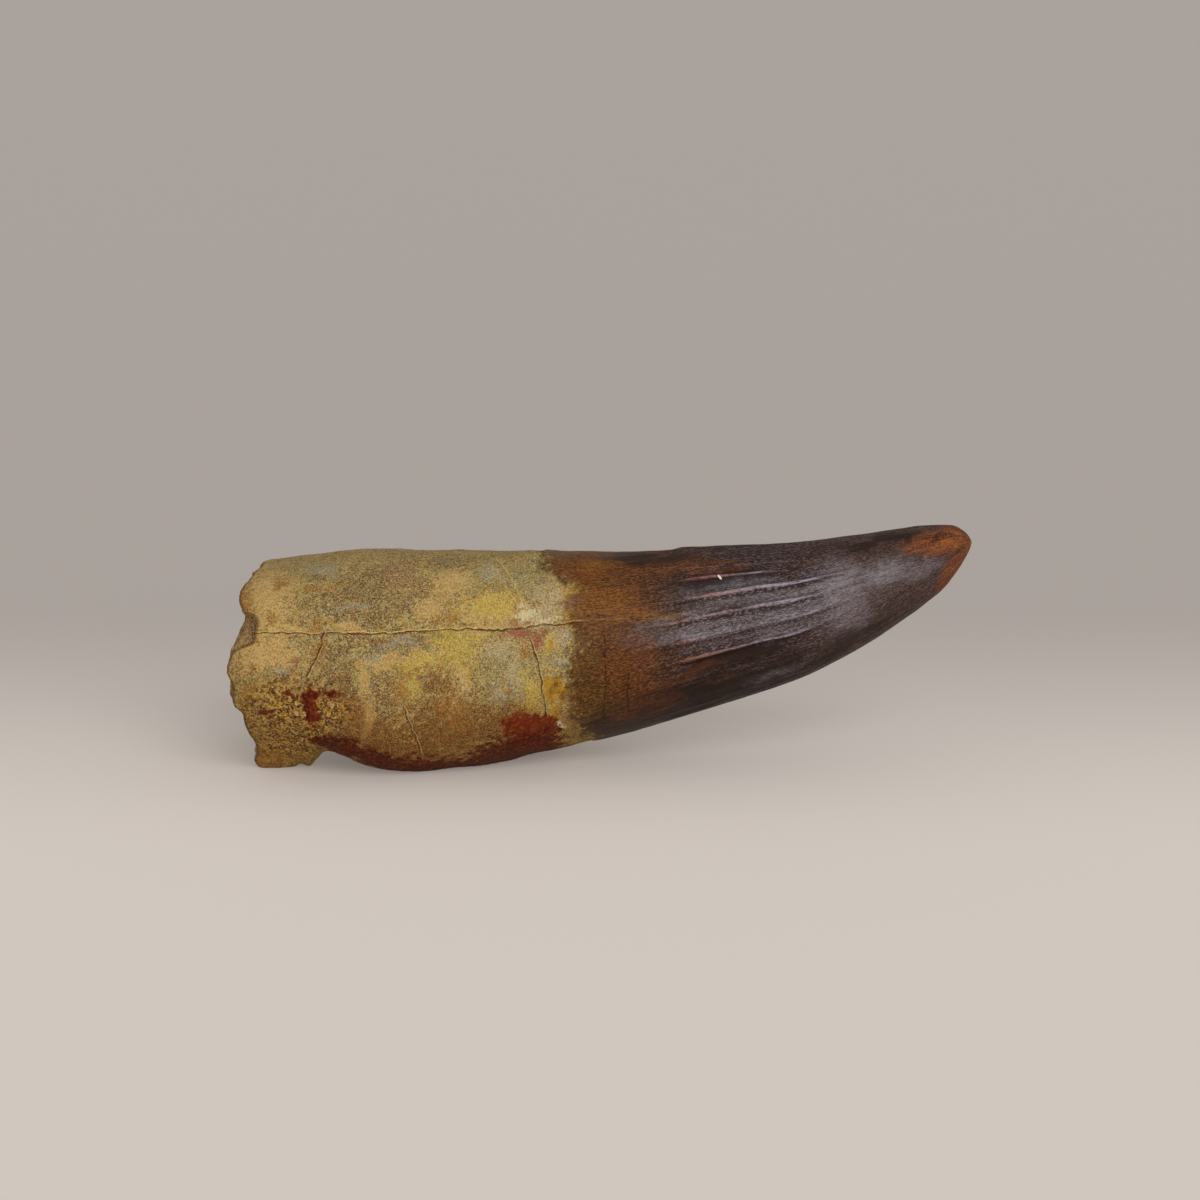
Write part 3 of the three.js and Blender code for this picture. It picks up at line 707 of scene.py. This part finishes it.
def build_tooth():
    points, x, angle = build_points()
    fields = surface_fields(points, x, angle)
    side = displace(points, x, side_relief(points, x, angle, fields))
    rings, ring_fields = build_face(side[0])
    last_points = [[HALF_LENGTH, 0, TIP_HEIGHT], rings[-1].mean(axis=0)]
    vertices = np.concatenate([side.reshape(-1, 3), rings.reshape(-1, 3), last_points])
    placed = (vertices - np.array([CENTRE_X, CENTRE_Y, 0])) * MM
    placed = np.clip(placed, *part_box("tooth"))
    mesh = bpy.data.meshes.new("tooth_surface")
    mesh.from_pydata(placed.tolist(), [], tooth_faces(len(side), len(rings)))
    mesh.validate()
    mesh.shade_smooth()

    for name, values in fields.items():
        on_face = ring_fields.get(name, np.zeros(rings.shape[:2]))
        last = [values[-1].mean(), on_face[-1].mean()]
        add_attribute(mesh, name, np.concatenate([values.ravel(), on_face.ravel(), last]))
    around = rolled_out(x, angle, GRAIN_RADIUS).reshape(-1, 3)
    grain = np.concatenate([around, rings.reshape(-1, 3), last_points])
    add_attribute(mesh, "grain", grain, "FLOAT_VECTOR", "vector")
    unwrap(mesh, len(side), len(rings))
    return add_object("tooth_surface", mesh)


# The flattened skin: the side is a strip, the broken end a disc beside it
STRIP_MARGIN = 0.005
STRIP_WIDTH = 0.79
DISC_CENTRE = (0.895, 0.5)
DISC_RADIUS = 0.1
FACE_HALF_SPAN = 0.02


def unwrap(mesh, stations, face_rings):
    count = len(mesh.loops)
    vertex = np.empty(count, dtype=np.int64)
    mesh.loops.foreach_get("vertex_index", vertex)
    place = np.empty(len(mesh.vertices) * 3)
    mesh.vertices.foreach_get("co", place)
    place = place.reshape(-1, 3)
    side_count = stations * COLUMNS
    face_of_loop = np.repeat(np.arange(len(mesh.polygons)), [len(p.vertices) for p in mesh.polygons])
    side_faces = (stations - 1) * COLUMNS
    tip_faces = side_faces + face_rings * COLUMNS
    on_tip = (face_of_loop >= tip_faces) & (face_of_loop < tip_faces + COLUMNS)
    on_side = (face_of_loop < side_faces) | on_tip

    column = (vertex % COLUMNS).astype(float)
    face_column = (face_of_loop % COLUMNS).astype(float)
    column = np.where((column == 0) & (face_column == COLUMNS - 1), COLUMNS, column)
    tip_vertex = side_count + face_rings * COLUMNS
    column = np.where(vertex == tip_vertex, face_column + 0.5, column)
    along = np.clip((place[vertex, 0] / MM + HALF_LENGTH) / (2 * HALF_LENGTH), 0, 1)
    across = (1 - 2 * STRIP_MARGIN) * column / COLUMNS
    strip = STRIP_MARGIN + np.stack([STRIP_WIDTH * along, across], axis=-1)
    disc = np.stack([
        DISC_CENTRE[0] + DISC_RADIUS * place[vertex, 1] / FACE_HALF_SPAN,
        DISC_CENTRE[1] + DISC_RADIUS * (place[vertex, 2] - FACE_CENTRE_Z * MM) / FACE_HALF_SPAN,
    ], axis=-1)
    layer = mesh.uv_layers.new(name="OFBake")
    layer.data.foreach_set("uv", np.where(on_side[:, None], strip, disc).astype(np.float32).ravel())


def paint(red, green, blue):
    """A colour given as 0 to 255, as on a screen."""
    def linear(value):
        value /= 255
        return value / 12.92 if value <= 0.04045 else ((value + 0.055) / 1.055) ** 2.4
    return (linear(red), linear(green), linear(blue), 1)


class Graph:
    """A material's nodes. Colours are given as they are on a screen, each part from 0 to 255."""

    def __init__(self, name):
        self.material = bpy.data.materials.new(name)
        self.material.use_nodes = True
        self.tree = self.material.node_tree

    def wear(self, inputs):
        """Gives the surface its colour, roughness and so on."""
        self.fill(self.tree.nodes["Principled BSDF"], inputs)

    def fill(self, node, inputs):
        for key, value in inputs.items():
            socket = node.inputs[key]
            if isinstance(value, Value):
                self.tree.links.new(value.socket, socket)
            elif socket.type == "RGBA":
                socket.default_value = paint(*value)
            else:
                socket.default_value = value

    def put(self, kind, output, inputs, **settings):
        node = self.tree.nodes.new(kind)
        for key, value in settings.items():
            setattr(node, key, value)
        self.fill(node, inputs)
        return Value(self, node.outputs[output])

    def place(self):
        return self.put("ShaderNodeTexCoord", "Object", {})

    def field(self, name, kind="Fac"):
        return self.put("ShaderNodeAttribute", kind, {}, attribute_name=name)


class Value:
    """What a node gives: a number, a place or a colour, from which others are worked out."""

    def __init__(self, graph, socket):
        self.graph = graph
        self.socket = socket

    def math(self, operation, other=0.0):
        return self.graph.put("ShaderNodeMath", 0, {0: self, 1: other}, operation=operation)

    def __add__(self, other):
        return self.math("ADD", other)

    def __sub__(self, other):
        return self.math("SUBTRACT", other)

    def __rsub__(self, other):
        return self.graph.put("ShaderNodeMath", 0, {0: other, 1: self}, operation="SUBTRACT")

    def __mul__(self, other):
        return self.math("MULTIPLY", other)

    def __abs__(self):
        return self.math("ABSOLUTE")

    def step(self, low, high, start=0.0, end=1.0):
        """From start to end as this number goes from low to high."""
        inputs = {"Value": self, "From Min": low, "From Max": high, "To Min": start, "To Max": end}
        return self.graph.put("ShaderNodeMapRange", 0, inputs, interpolation_type="SMOOTHSTEP")

    def between(self, first, second):
        """A number between two others, by this share."""
        return self.graph.put("ShaderNodeMix", 0, {0: self, 2: first, 3: second}, data_type="FLOAT")

    def mix(self, first, second, blend="MIX"):
        """A colour between two others, by this share."""
        inputs = {0: self, 6: first, 7: second}
        return self.graph.put("ShaderNodeMix", 2, inputs, data_type="RGBA", blend_type=blend)

    def split(self):
        x = self.graph.put("ShaderNodeSeparateXYZ", 0, {0: self})
        return [Value(self.graph, socket) for socket in x.socket.node.outputs]

    def stretch(self, scales):
        return self.graph.put("ShaderNodeVectorMath", 0, {0: self, 1: scales}, operation="MULTIPLY")

    def noise(self, scale, detail, roughness):
        inputs = {"Vector": self, "Scale": scale, "Detail": detail, "Roughness": roughness}
        return self.graph.put("ShaderNodeTexNoise", "Fac", inputs)


def tint(colour, value, low, high, share, tone):
    """A colour that turns to a tone, by up to that share, as a value goes from low to high."""
    return value.step(low, high, 0, share).mix(colour, tone)


# Noises of the whole tooth: features per millimetre, detail and roughness
NOISES = {
    "ragged": (0.8, 5, 0.7),
    "coarse": (1.7, 4, 0.75),
    "grit": (2.7, 2, 0.6),
    "speck": (4.2, 2, 0.7),
    "fine": (6, 1, 0.6),
    "wobble": (1.1, 3, 0.55),
    "cloud": (0.16, 4, 0.6),
    "rusting": (0.3, 5, 0.7),
}

# Noises of the enamel: features per millimetre along the tooth and round it, detail and roughness
ENAMEL_NOISES = {
    "streak": (0.1, 0.9, 4, 0.6),
    "line": (0.14, 1.9, 4, 0.65),
    "thread": (0.34, 3.6, 3, 0.65),
    "pepper": (1.9, 4.8, 2, 0.65),
}

# Hues that the root drifts between: patches per millimetre and colour
ROOT_DRIFTS = [
    (0.28, (134, 86, 40)),
    (0.34, (126, 120, 80)),
    (0.43, (178, 148, 62)),
    (0.52, (104, 84, 62)),
    (0.85, (88, 60, 26)),
    (1.1, (190, 170, 110)),
]
DRIFT_DETAIL = 7
DRIFT_ROUGHNESS = 0.74
DRIFT_SHARE = 0.6

# How stains colour the tooth: field, how far noise moves the border, how soft it is, colour, strength
DARK_STAINS = [
    ("shade", 2.4, 0.15, (94, 70, 42), 0.75),
    ("green", 2.4, 0.14, (138, 130, 84), 0.72),
    ("rose", 2.6, 0.15, (154, 104, 70), 0.55),
    ("umber", 2, 0.2, (90, 48, 0), 0.88),
]
PALE_STAINS = [
    ("cream", 2.5, 0.12, (208, 168, 98), 0.76),
    ("yellow", 2.5, 0.12, (198, 170, 60), 0.68),
    ("ochre", 2.8, 0.12, (156, 100, 8), 0.64),
    ("pale", 3, 0.12, (186, 168, 130), 0.68),
    ("blue", 3.4, 0.14, (164, 160, 140), 0.55),
    ("rust", 2.8, 0.12, (146, 92, 6), 0.7),
]
LATE_STAINS = [
    ("umber", 1.4, 0.34, (116, 66, 6), 0.45),
    ("gold", 2.2, 0.16, (174, 130, 4), 0.74),
]
RED_STAINS = [
    ("pink", 3.4, 0.2, (140, 70, 56), 0.65),
    ("brick", 1.5, 0.12, (104, 26, 0), 0.94),
    ("maroon", 1.3, 0.14, (74, 14, 0), 0.94),
]
ENAMEL_STAINS = [
    ("amber", 1.6, 0.26, (108, 56, 8), 0.6),
    ("gold", 1.6, 0.3, (140, 88, 8), 0.7),
    ("olive", 1.4, 0.34, (84, 56, 12), 0.6),
]
# On the enamel, the pale field's colour is painted highlight, its brightest core
LATE_ENAMEL_STAINS = [
    ("pale", 0.7, 0.4, (142, 130, 134), 0.4),
    ("amber", 1.8, 0.24, (104, 50, 16), 0.3),
]
TIP_STAINS = [("umber", 1.5, 0.2, (64, 20, 16), 0.85)]
CRUST_STAINS = [("white", 3.4, 0.2, (212, 196, 152), 0.75)]

# Grains of sand in the root: noise, dark grains, light grains and strength
SAND_GRAINS = [
    ("ragged", (96, 64, 24), (188, 168, 100), 0.3),
    ("grit", (92, 58, 20), (206, 180, 116), 0.26),
    ("speck", (70, 48, 20), (218, 202, 142), 0.4),
]

# The enamel's ground: each colour with the stretch, in millimetres along the tooth, where it comes in
ENAMEL_START = (106, 66, 10)
ENAMEL_GROUND = [
    (4, 15, (80, 44, 12)),
    (12, 28, (46, 27, 20)),
    (36, 50, (70, 48, 38)),
]
GROUND_RAGGEDNESS = 20

# Heights in millimetres below which the root turns darker and browner, partly painted shade, and a white
# chip in the enamel
BROWNER_BELOW = 17
BROWNEST_BELOW = 5
FLECK = Stain(19.1, 31.9, 0.46, 0.17, -50)

# Growth rings of the broken face, and how far noise bends them, as angles of a sine wave
GROWTH_TURNS = 46
GROWTH_BENDS = 14

SPECULAR = 0.14
POLISH_ROUGHNESS = 0.34
CRACK_WOBBLE = 0.45

# The bump: its height in millimetres, and the shares in it of the cracks and the enamel's edge
BUMP_HEIGHT = 0.2
CRACK_BUMP = 1.2
ENAMEL_BUMP = 0.8


def tooth_noises(place, grain):
    noises = {name: place.noise(*shape) for name, shape in NOISES.items()}
    for name, (along, across, detail, roughness) in ENAMEL_NOISES.items():
        stretched = grain.stretch((along, across, across))
        noises[name] = stretched.noise(1, detail, roughness)
    return SimpleNamespace(**noises)


def stain_mask(name, ragged, spread, softness):
    """A stain's field with a ragged, more or less soft border."""
    field = ragged.graph.field(name)
    noisy = field + (ragged - 0.5) * spread
    near = field.step(0.04, 0.24)
    return near * noisy.step(0.5 - softness, 0.5 + softness)


def add_stains(colour, ragged, stains):
    for name, spread, softness, tone, strength in stains:
        mask = stain_mask(name, ragged, spread, softness) * strength
        colour = mask.mix(colour, tone)
    return colour


def speckled(colour, grains, dark, light, strength):
    """Dark and light grains from the two tails of one noise."""
    colour = tint(colour, grains, 0.5, 0.65, strength, dark)
    return tint(colour, grains, 0.5, 0.36, strength, light)


def sandy_colour(place, noises):
    """Sand of the root: a brown ground whose hue drifts, soft stains over it, grains, and painted shade that
    darkens it towards the bottom.
    """
    ground = noises.cloud.step(0.3, 0.7)
    colour = ground.mix((126, 94, 40), (158, 130, 64))
    for scale, tone in ROOT_DRIFTS:
        patch = place.noise(scale, DRIFT_DETAIL, DRIFT_ROUGHNESS)
        colour = tint(colour, patch, 0.5, 0.6, DRIFT_SHARE, tone)
    colour = add_stains(colour, noises.ragged, DARK_STAINS)
    colour = speckled(colour, noises.speck, (62, 44, 18), (204, 186, 124), 0.36)
    colour = add_stains(colour, noises.ragged, PALE_STAINS)
    for name, dark, light, strength in SAND_GRAINS:
        colour = speckled(colour, getattr(noises, name), dark, light, strength)
    colour = add_stains(colour, noises.ragged, LATE_STAINS)
    # darker and browner towards the bottom: painted shade where less light falls, over the root's own
    # browner lower part
    lower = place.split()[2].step(BROWNER_BELOW, BROWNEST_BELOW)
    return lower.mix(colour, (240, 222, 176), "MULTIPLY")


def rough_grains(colour, noises, zone):
    """The rough patch near the break: rusty sand with brown grains and cream ones."""
    sand = noises.ragged.step(0.42, 0.54).mix((208, 146, 26), (128, 76, 12))
    sand = tint(sand, noises.coarse, 0.46, 0.39, 0.85, (206, 184, 118))
    sand = tint(sand, noises.coarse, 0.52, 0.58, 0.95, (52, 24, 4))
    colour = (zone * 0.88).mix(colour, sand)
    dark = zone * noises.grit.step(0.53, 0.61, 0, 0.9)
    light = zone * noises.grit.step(0.44, 0.35, 0, 0.65)
    colour = dark.mix(colour, (48, 24, 2))
    return light.mix(colour, (222, 200, 132))


def root_colour(graph, place, noises, zone):
    """The root: sand, its rough patch, the dark red stains, and the darkened rim of the break."""
    colour = rough_grains(sandy_colour(place, noises), noises, zone)
    colour = speckled(colour, noises.fine, (60, 42, 22), (206, 180, 130), 0.2)
    colour = add_stains(colour, noises.ragged, RED_STAINS)
    colour = speckled(colour, noises.coarse, (46, 18, 4), (186, 106, 36), 0.26)
    return tint(colour, graph.field("rim"), 0.3, 0.9, 0.6, (84, 46, 20))


def enamel_colour(graph, grain, noises, polish_and_painted_highlight):
    """Dark brown enamel, golden near the root, with fine lines and ridges along the flutes, and with painted
    highlight, sheen, glints and shade.
    """
    along = grain.split()[0]
    shifted = along + noises.streak * GROUND_RAGGEDNESS
    colour = ENAMEL_START
    for start, end, tone in ENAMEL_GROUND:
        colour = shifted.step(start, end).mix(colour, tone)
    colour = add_stains(colour, noises.streak, ENAMEL_STAINS)
    # painted highlight: grey-lilac colour where light reflects off the crown
    colour = (polish_and_painted_highlight * 0.68).mix(colour, (102, 88, 92))
    # painted shade low on the crown and along its top; the rest counts as lit below
    painted_shade = stain_mask("painted_shade", noises.streak, 1.2, 0.28)
    colour = (painted_shade * 0.7).mix(colour, (36, 20, 13))
    colour = add_stains(colour, noises.streak, LATE_ENAMEL_STAINS)

    lit = 1 - painted_shade
    fluted = along.step(2, 18) * along.step(42, 34, 0.4)
    lined = fluted * noises.line.step(0.52, 0.64, 0, 0.55)
    colour = lined.mix(colour, (34, 18, 14))
    # painted sheen: pale lilac streaks of light along the flutes, kept out of the painted shade
    sheen = fluted * (lit * noises.line.step(0.46, 0.36, 0, 0.4))
    colour = sheen.mix(colour, (122, 104, 108))
    # painted shadow: a thin dark line below each ridge
    colour = tint(colour, graph.field("ridge_shade"), 0.3, 0.9, 0.8, (36, 12, 8))
    # paler ridge crests: partly their own reddish colour, partly painted highlight, lilac-white towards the
    # tip
    broken = noises.line * 0.8 + noises.thread * 0.9
    crest = along.step(10, 36).mix((156, 96, 66), (184, 176, 194))
    colour = tint(colour, graph.field("ridge") * broken, 0.64, 0.96, 0.72, crest)

    colour = tint(colour, noises.thread, 0.52, 0.66, 0.65, (30, 17, 12))
    colour = tint(colour, noises.pepper, 0.5, 0.6, 0.6, (28, 14, 9))
    # pale grains: partly the enamel's own grain, partly painted glints, kept out of the painted shade
    grain_and_glint_tone = along.step(4, 26).mix((142, 96, 48), (130, 110, 110))
    bright = lit * noises.pepper.step(0.48, 0.38, 0, 0.48)
    colour = bright.mix(colour, grain_and_glint_tone)
    # painted glints: lilac-white sparkle where the highlight is painted
    painted_glints = polish_and_painted_highlight * noises.pepper.step(0.48, 0.36, 0, 0.32)
    return (fluted * painted_glints).mix(colour, (164, 154, 166))


def tip_colour(noises):
    """The worn tip: amber flames with dark streaks."""
    flames = noises.thread * 0.45 + noises.ragged * 0.55
    amber = flames.step(0.4, 0.52).mix((178, 98, 28), (118, 64, 32))
    amber = tint(amber, noises.streak, 0.49, 0.57, 0.8, (80, 34, 24))
    amber = add_stains(amber, noises.ragged, TIP_STAINS)
    return speckled(amber, noises.speck, (70, 34, 20), (206, 136, 76), 0.3)


def face_colour(graph, noises):
    """The broken end: brown dentine with growth rings and splits, round a stained sandy filling."""
    inward = graph.field("inward")
    ring = (inward * GROWTH_TURNS + noises.ragged * GROWTH_BENDS).math("SINE")
    dentine = noises.ragged.step(0.38, 0.62).mix((158, 118, 66), (112, 74, 34))
    dentine = tint(dentine, ring, 0.2, 0.9, 0.4, (196, 160, 104))
    dentine = tint(dentine, ring, -0.4, -0.95, 0.35, (78, 48, 24))
    dentine = tint(dentine, inward, 0.14, 0.02, 0.7, (92, 54, 26))
    filling = noises.coarse.step(0.4, 0.6).mix((190, 160, 106), (132, 98, 54))
    filling = tint(filling, noises.rusting, 0.5, 0.6, 0.75, (124, 58, 20))
    filling = tint(filling, noises.rusting, 0.47, 0.38, 0.6, (196, 186, 150))
    cavity = graph.field("cavity")
    face = cavity.step(0.45, 0.53).mix(dentine, filling)
    seam = abs(cavity - 0.5)
    face = tint(face, seam, 0.05, 0.02, 0.7, (66, 38, 20))
    split = abs(noises.cloud - 0.5)
    face = tint(face, split, 0.008, 0.003, 0.75, (60, 30, 16))
    face = speckled(face, noises.grit, (70, 44, 22), (212, 186, 130), 0.4)
    return speckled(face, noises.speck, (70, 48, 28), (212, 188, 138), 0.4)


def fleck(place):
    """A small white chip in the front of the enamel, by its place in the frame."""
    side, depth, rise = place.split()
    along, across = turned(side - FLECK.x, rise - FLECK.height, FLECK.tilt)
    along = along.math("DIVIDE", FLECK.half_length).math("POWER", 2)
    across = across.math("DIVIDE", FLECK.half_height).math("POWER", 2)
    return (along + across).step(1.3, 0.7) * depth.step(0, -1)


def crack_line(graph, name, wobble):
    """The dark line of a crack, and the pale lip above it."""
    offset = graph.field(f"{name}_offset") + wobble
    gap = graph.field(f"{name}_opening")
    depth = gap - abs(offset)
    line = depth.step(-0.06, 0.04) * gap.step(0.01, 0.05)
    above = offset.step(0.02, 0.1) * offset.step(0.36, 0.18)
    lip = graph.field(f"{name}_lip") * gap.step(0, 0.02)
    return line, above * lip


def add_cracks(graph, colour, noises):
    """The colour with its cracks, and the cracks' lines for the bump."""
    wobble = (noises.wobble - 0.5) * CRACK_WOBBLE
    lines = []
    for name in FRONT_CRACKS:
        line, lip = crack_line(graph, name, wobble)
        lip = lip * noises.ragged.step(0.36, 0.56, 0.5)
        colour = lip.mix(colour, (214, 184, 116))
        deep = graph.field(f"{name}_red").mix((50, 34, 22), (112, 30, 22))
        drawn = line * noises.ragged.step(0.4, 0.52, 0.45, 0.85)
        colour = drawn.mix(colour, deep)
        lines.append(line)
    return colour, lines


def add_polish(graph, noises, gloss, polish_and_painted_highlight):
    """A dull root, and silky enamel whose coat is thickest where its highlight is painted."""
    dull = noises.speck.step(0.35, 0.7, 0.7, 0.9)
    silky = noises.thread.step(0.3, 0.7, 0.4, 0.55)
    graph.wear({
        "Roughness": gloss.between(dull, silky),
        "Specular IOR Level": SPECULAR,
        "Coat Weight": gloss * (polish_and_painted_highlight * 0.5 + 0.03),
        "Coat Roughness": POLISH_ROUGHNESS,
    })


def add_bump(graph, noises, gloss, zone, is_enamel, lines):
    """Grains of the root, threads of the enamel, the cracks, and the step at the enamel's edge."""
    sand = noises.speck * 0.7 + noises.fine * 0.5
    sand = sand + noises.coarse * zone * 1.8
    silk = noises.thread * 0.8 + noises.speck * 0.45
    height = gloss.between(sand, silk)
    for line in lines:
        height = height - line * CRACK_BUMP
    height = height + is_enamel * ENAMEL_BUMP
    inputs = {"Height": height, "Distance": BUMP_HEIGHT * MM}
    graph.wear({"Normal": graph.put("ShaderNodeBump", "Normal", inputs)})


def tooth_material():
    graph = Graph("fossil_tooth")
    grain = graph.field("grain", "Vector")
    place = graph.place().stretch((1 / MM, 1 / MM, 1 / MM))
    noises = tooth_noises(place, grain)
    zone = stain_mask("rough", noises.ragged, 1.2, 0.24)
    # where the highlight is painted, and where the enamel is glossiest
    polish_and_painted_highlight = stain_mask("polish_and_painted_highlight", noises.ragged, 0.7, 0.4)
    worn = stain_mask("worn", noises.ragged, 1.1, 0.22)
    is_enamel = stain_mask("enamel", noises.ragged, 1.8, 0.22)
    end = graph.field("end")

    root = root_colour(graph, place, noises, zone)
    colour = is_enamel.mix(root, enamel_colour(graph, grain, noises, polish_and_painted_highlight))
    colour = (worn * 0.85).mix(colour, tip_colour(noises))
    colour = add_stains(colour, noises.grit, CRUST_STAINS)
    colour = fleck(place).mix(colour, (236, 222, 204))
    colour, lines = add_cracks(graph, colour, noises)
    graph.wear({"Base Color": end.mix(colour, face_colour(graph, noises))})

    gloss = is_enamel * (1 - end)
    add_polish(graph, noises, gloss, polish_and_painted_highlight)
    add_bump(graph, noises, gloss, zone, is_enamel, lines)
    return graph.material


# A soft key light from the front, above and a little to the right, and an even fill
KEY_STRENGTH = 1.7
KEY_SOFTNESS = 40
KEY_ELEVATION = 30
KEY_AZIMUTH = 22
KEY_COLOUR = (0.98, 0.99, 1)
FILL_STRENGTH = 0.5
FILL_COLOUR = (1, 0.99, 0.98, 1)

# The stage, in metres: a wide pale floor, painted a little darker behind the tooth as light that falls off
# there, and glowing a little, as painted light, so that the shadow stays faint
FLOOR_HALF_SIZE = 12.0
FLOOR_DARKENS_FROM = -0.06
FLOOR_DARKENS_TO = 0.125
FLOOR_GLOW = 0.32
FLOOR_ROUGHNESS = 0.9
FLOOR_SPECULAR = 0.1


def build_floor():
    corners = [(-1, -1), (1, -1), (1, 1), (-1, 1)]
    mesh = bpy.data.meshes.new("floor")
    mesh.from_pydata([(a * FLOOR_HALF_SIZE, b * FLOOR_HALF_SIZE, 0) for a, b in corners], [], [(0, 1, 2, 3)])
    mesh.materials.append(floor_material())
    floor = add_object("floor", mesh)


def floor_material():
    graph = Graph("floor")
    behind = graph.place().split()[1]
    # painted fall-off of light: the floor is darker behind the tooth, and its glow is painted light
    darker = behind.step(FLOOR_DARKENS_FROM, FLOOR_DARKENS_TO)
    colour = darker.mix((201, 192, 184), (162, 154, 148))
    graph.wear({
        "Base Color": colour,
        "Roughness": FLOOR_ROUGHNESS,
        "Specular IOR Level": FLOOR_SPECULAR,
        "Emission Color": colour,
        "Emission Strength": FLOOR_GLOW,
    })
    return graph.material


def build_lights():
    sun = bpy.data.lights.new("key", "SUN")
    sun.energy = KEY_STRENGTH
    sun.angle = math.radians(KEY_SOFTNESS)
    sun.color = KEY_COLOUR
    lamp = add_object("key", sun)
    lamp.rotation_euler = (math.radians(90 - KEY_ELEVATION), 0, math.radians(KEY_AZIMUTH))
    world = bpy.data.worlds.new("studio")
    world.use_nodes = True
    background = world.node_tree.nodes["Background"]
    background.inputs["Color"].default_value = FILL_COLOUR
    background.inputs["Strength"].default_value = FILL_STRENGTH
    bpy.context.scene.world = world


def build_camera():
    camera_data = bpy.data.cameras.new("camera")
    camera_data.lens = CAMERA_LENS
    camera_data.sensor_width = CAMERA_SENSOR
    camera_data.clip_start, camera_data.clip_end = CAMERA_CLIP
    camera = add_object("camera", camera_data)
    distance = CAMERA_DISTANCE * MM
    target = Vector((-CENTRE_X * MM, -CENTRE_Y * MM, AIM_HEIGHT * MM))
    back = Vector((0, -math.cos(CAMERA_ELEVATION), math.sin(CAMERA_ELEVATION)))
    camera.location = target + distance * back
    camera.rotation_euler = (-back).to_track_quat("-Z", "Y").to_euler()
    bpy.context.scene.camera = camera


tooth = build_tooth()
tooth.data.materials.append(tooth_material())
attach(tooth, "root")
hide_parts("tooth")

build_floor()
build_lights()
build_camera()
bpy.context.scene.view_settings.view_transform = "Standard"
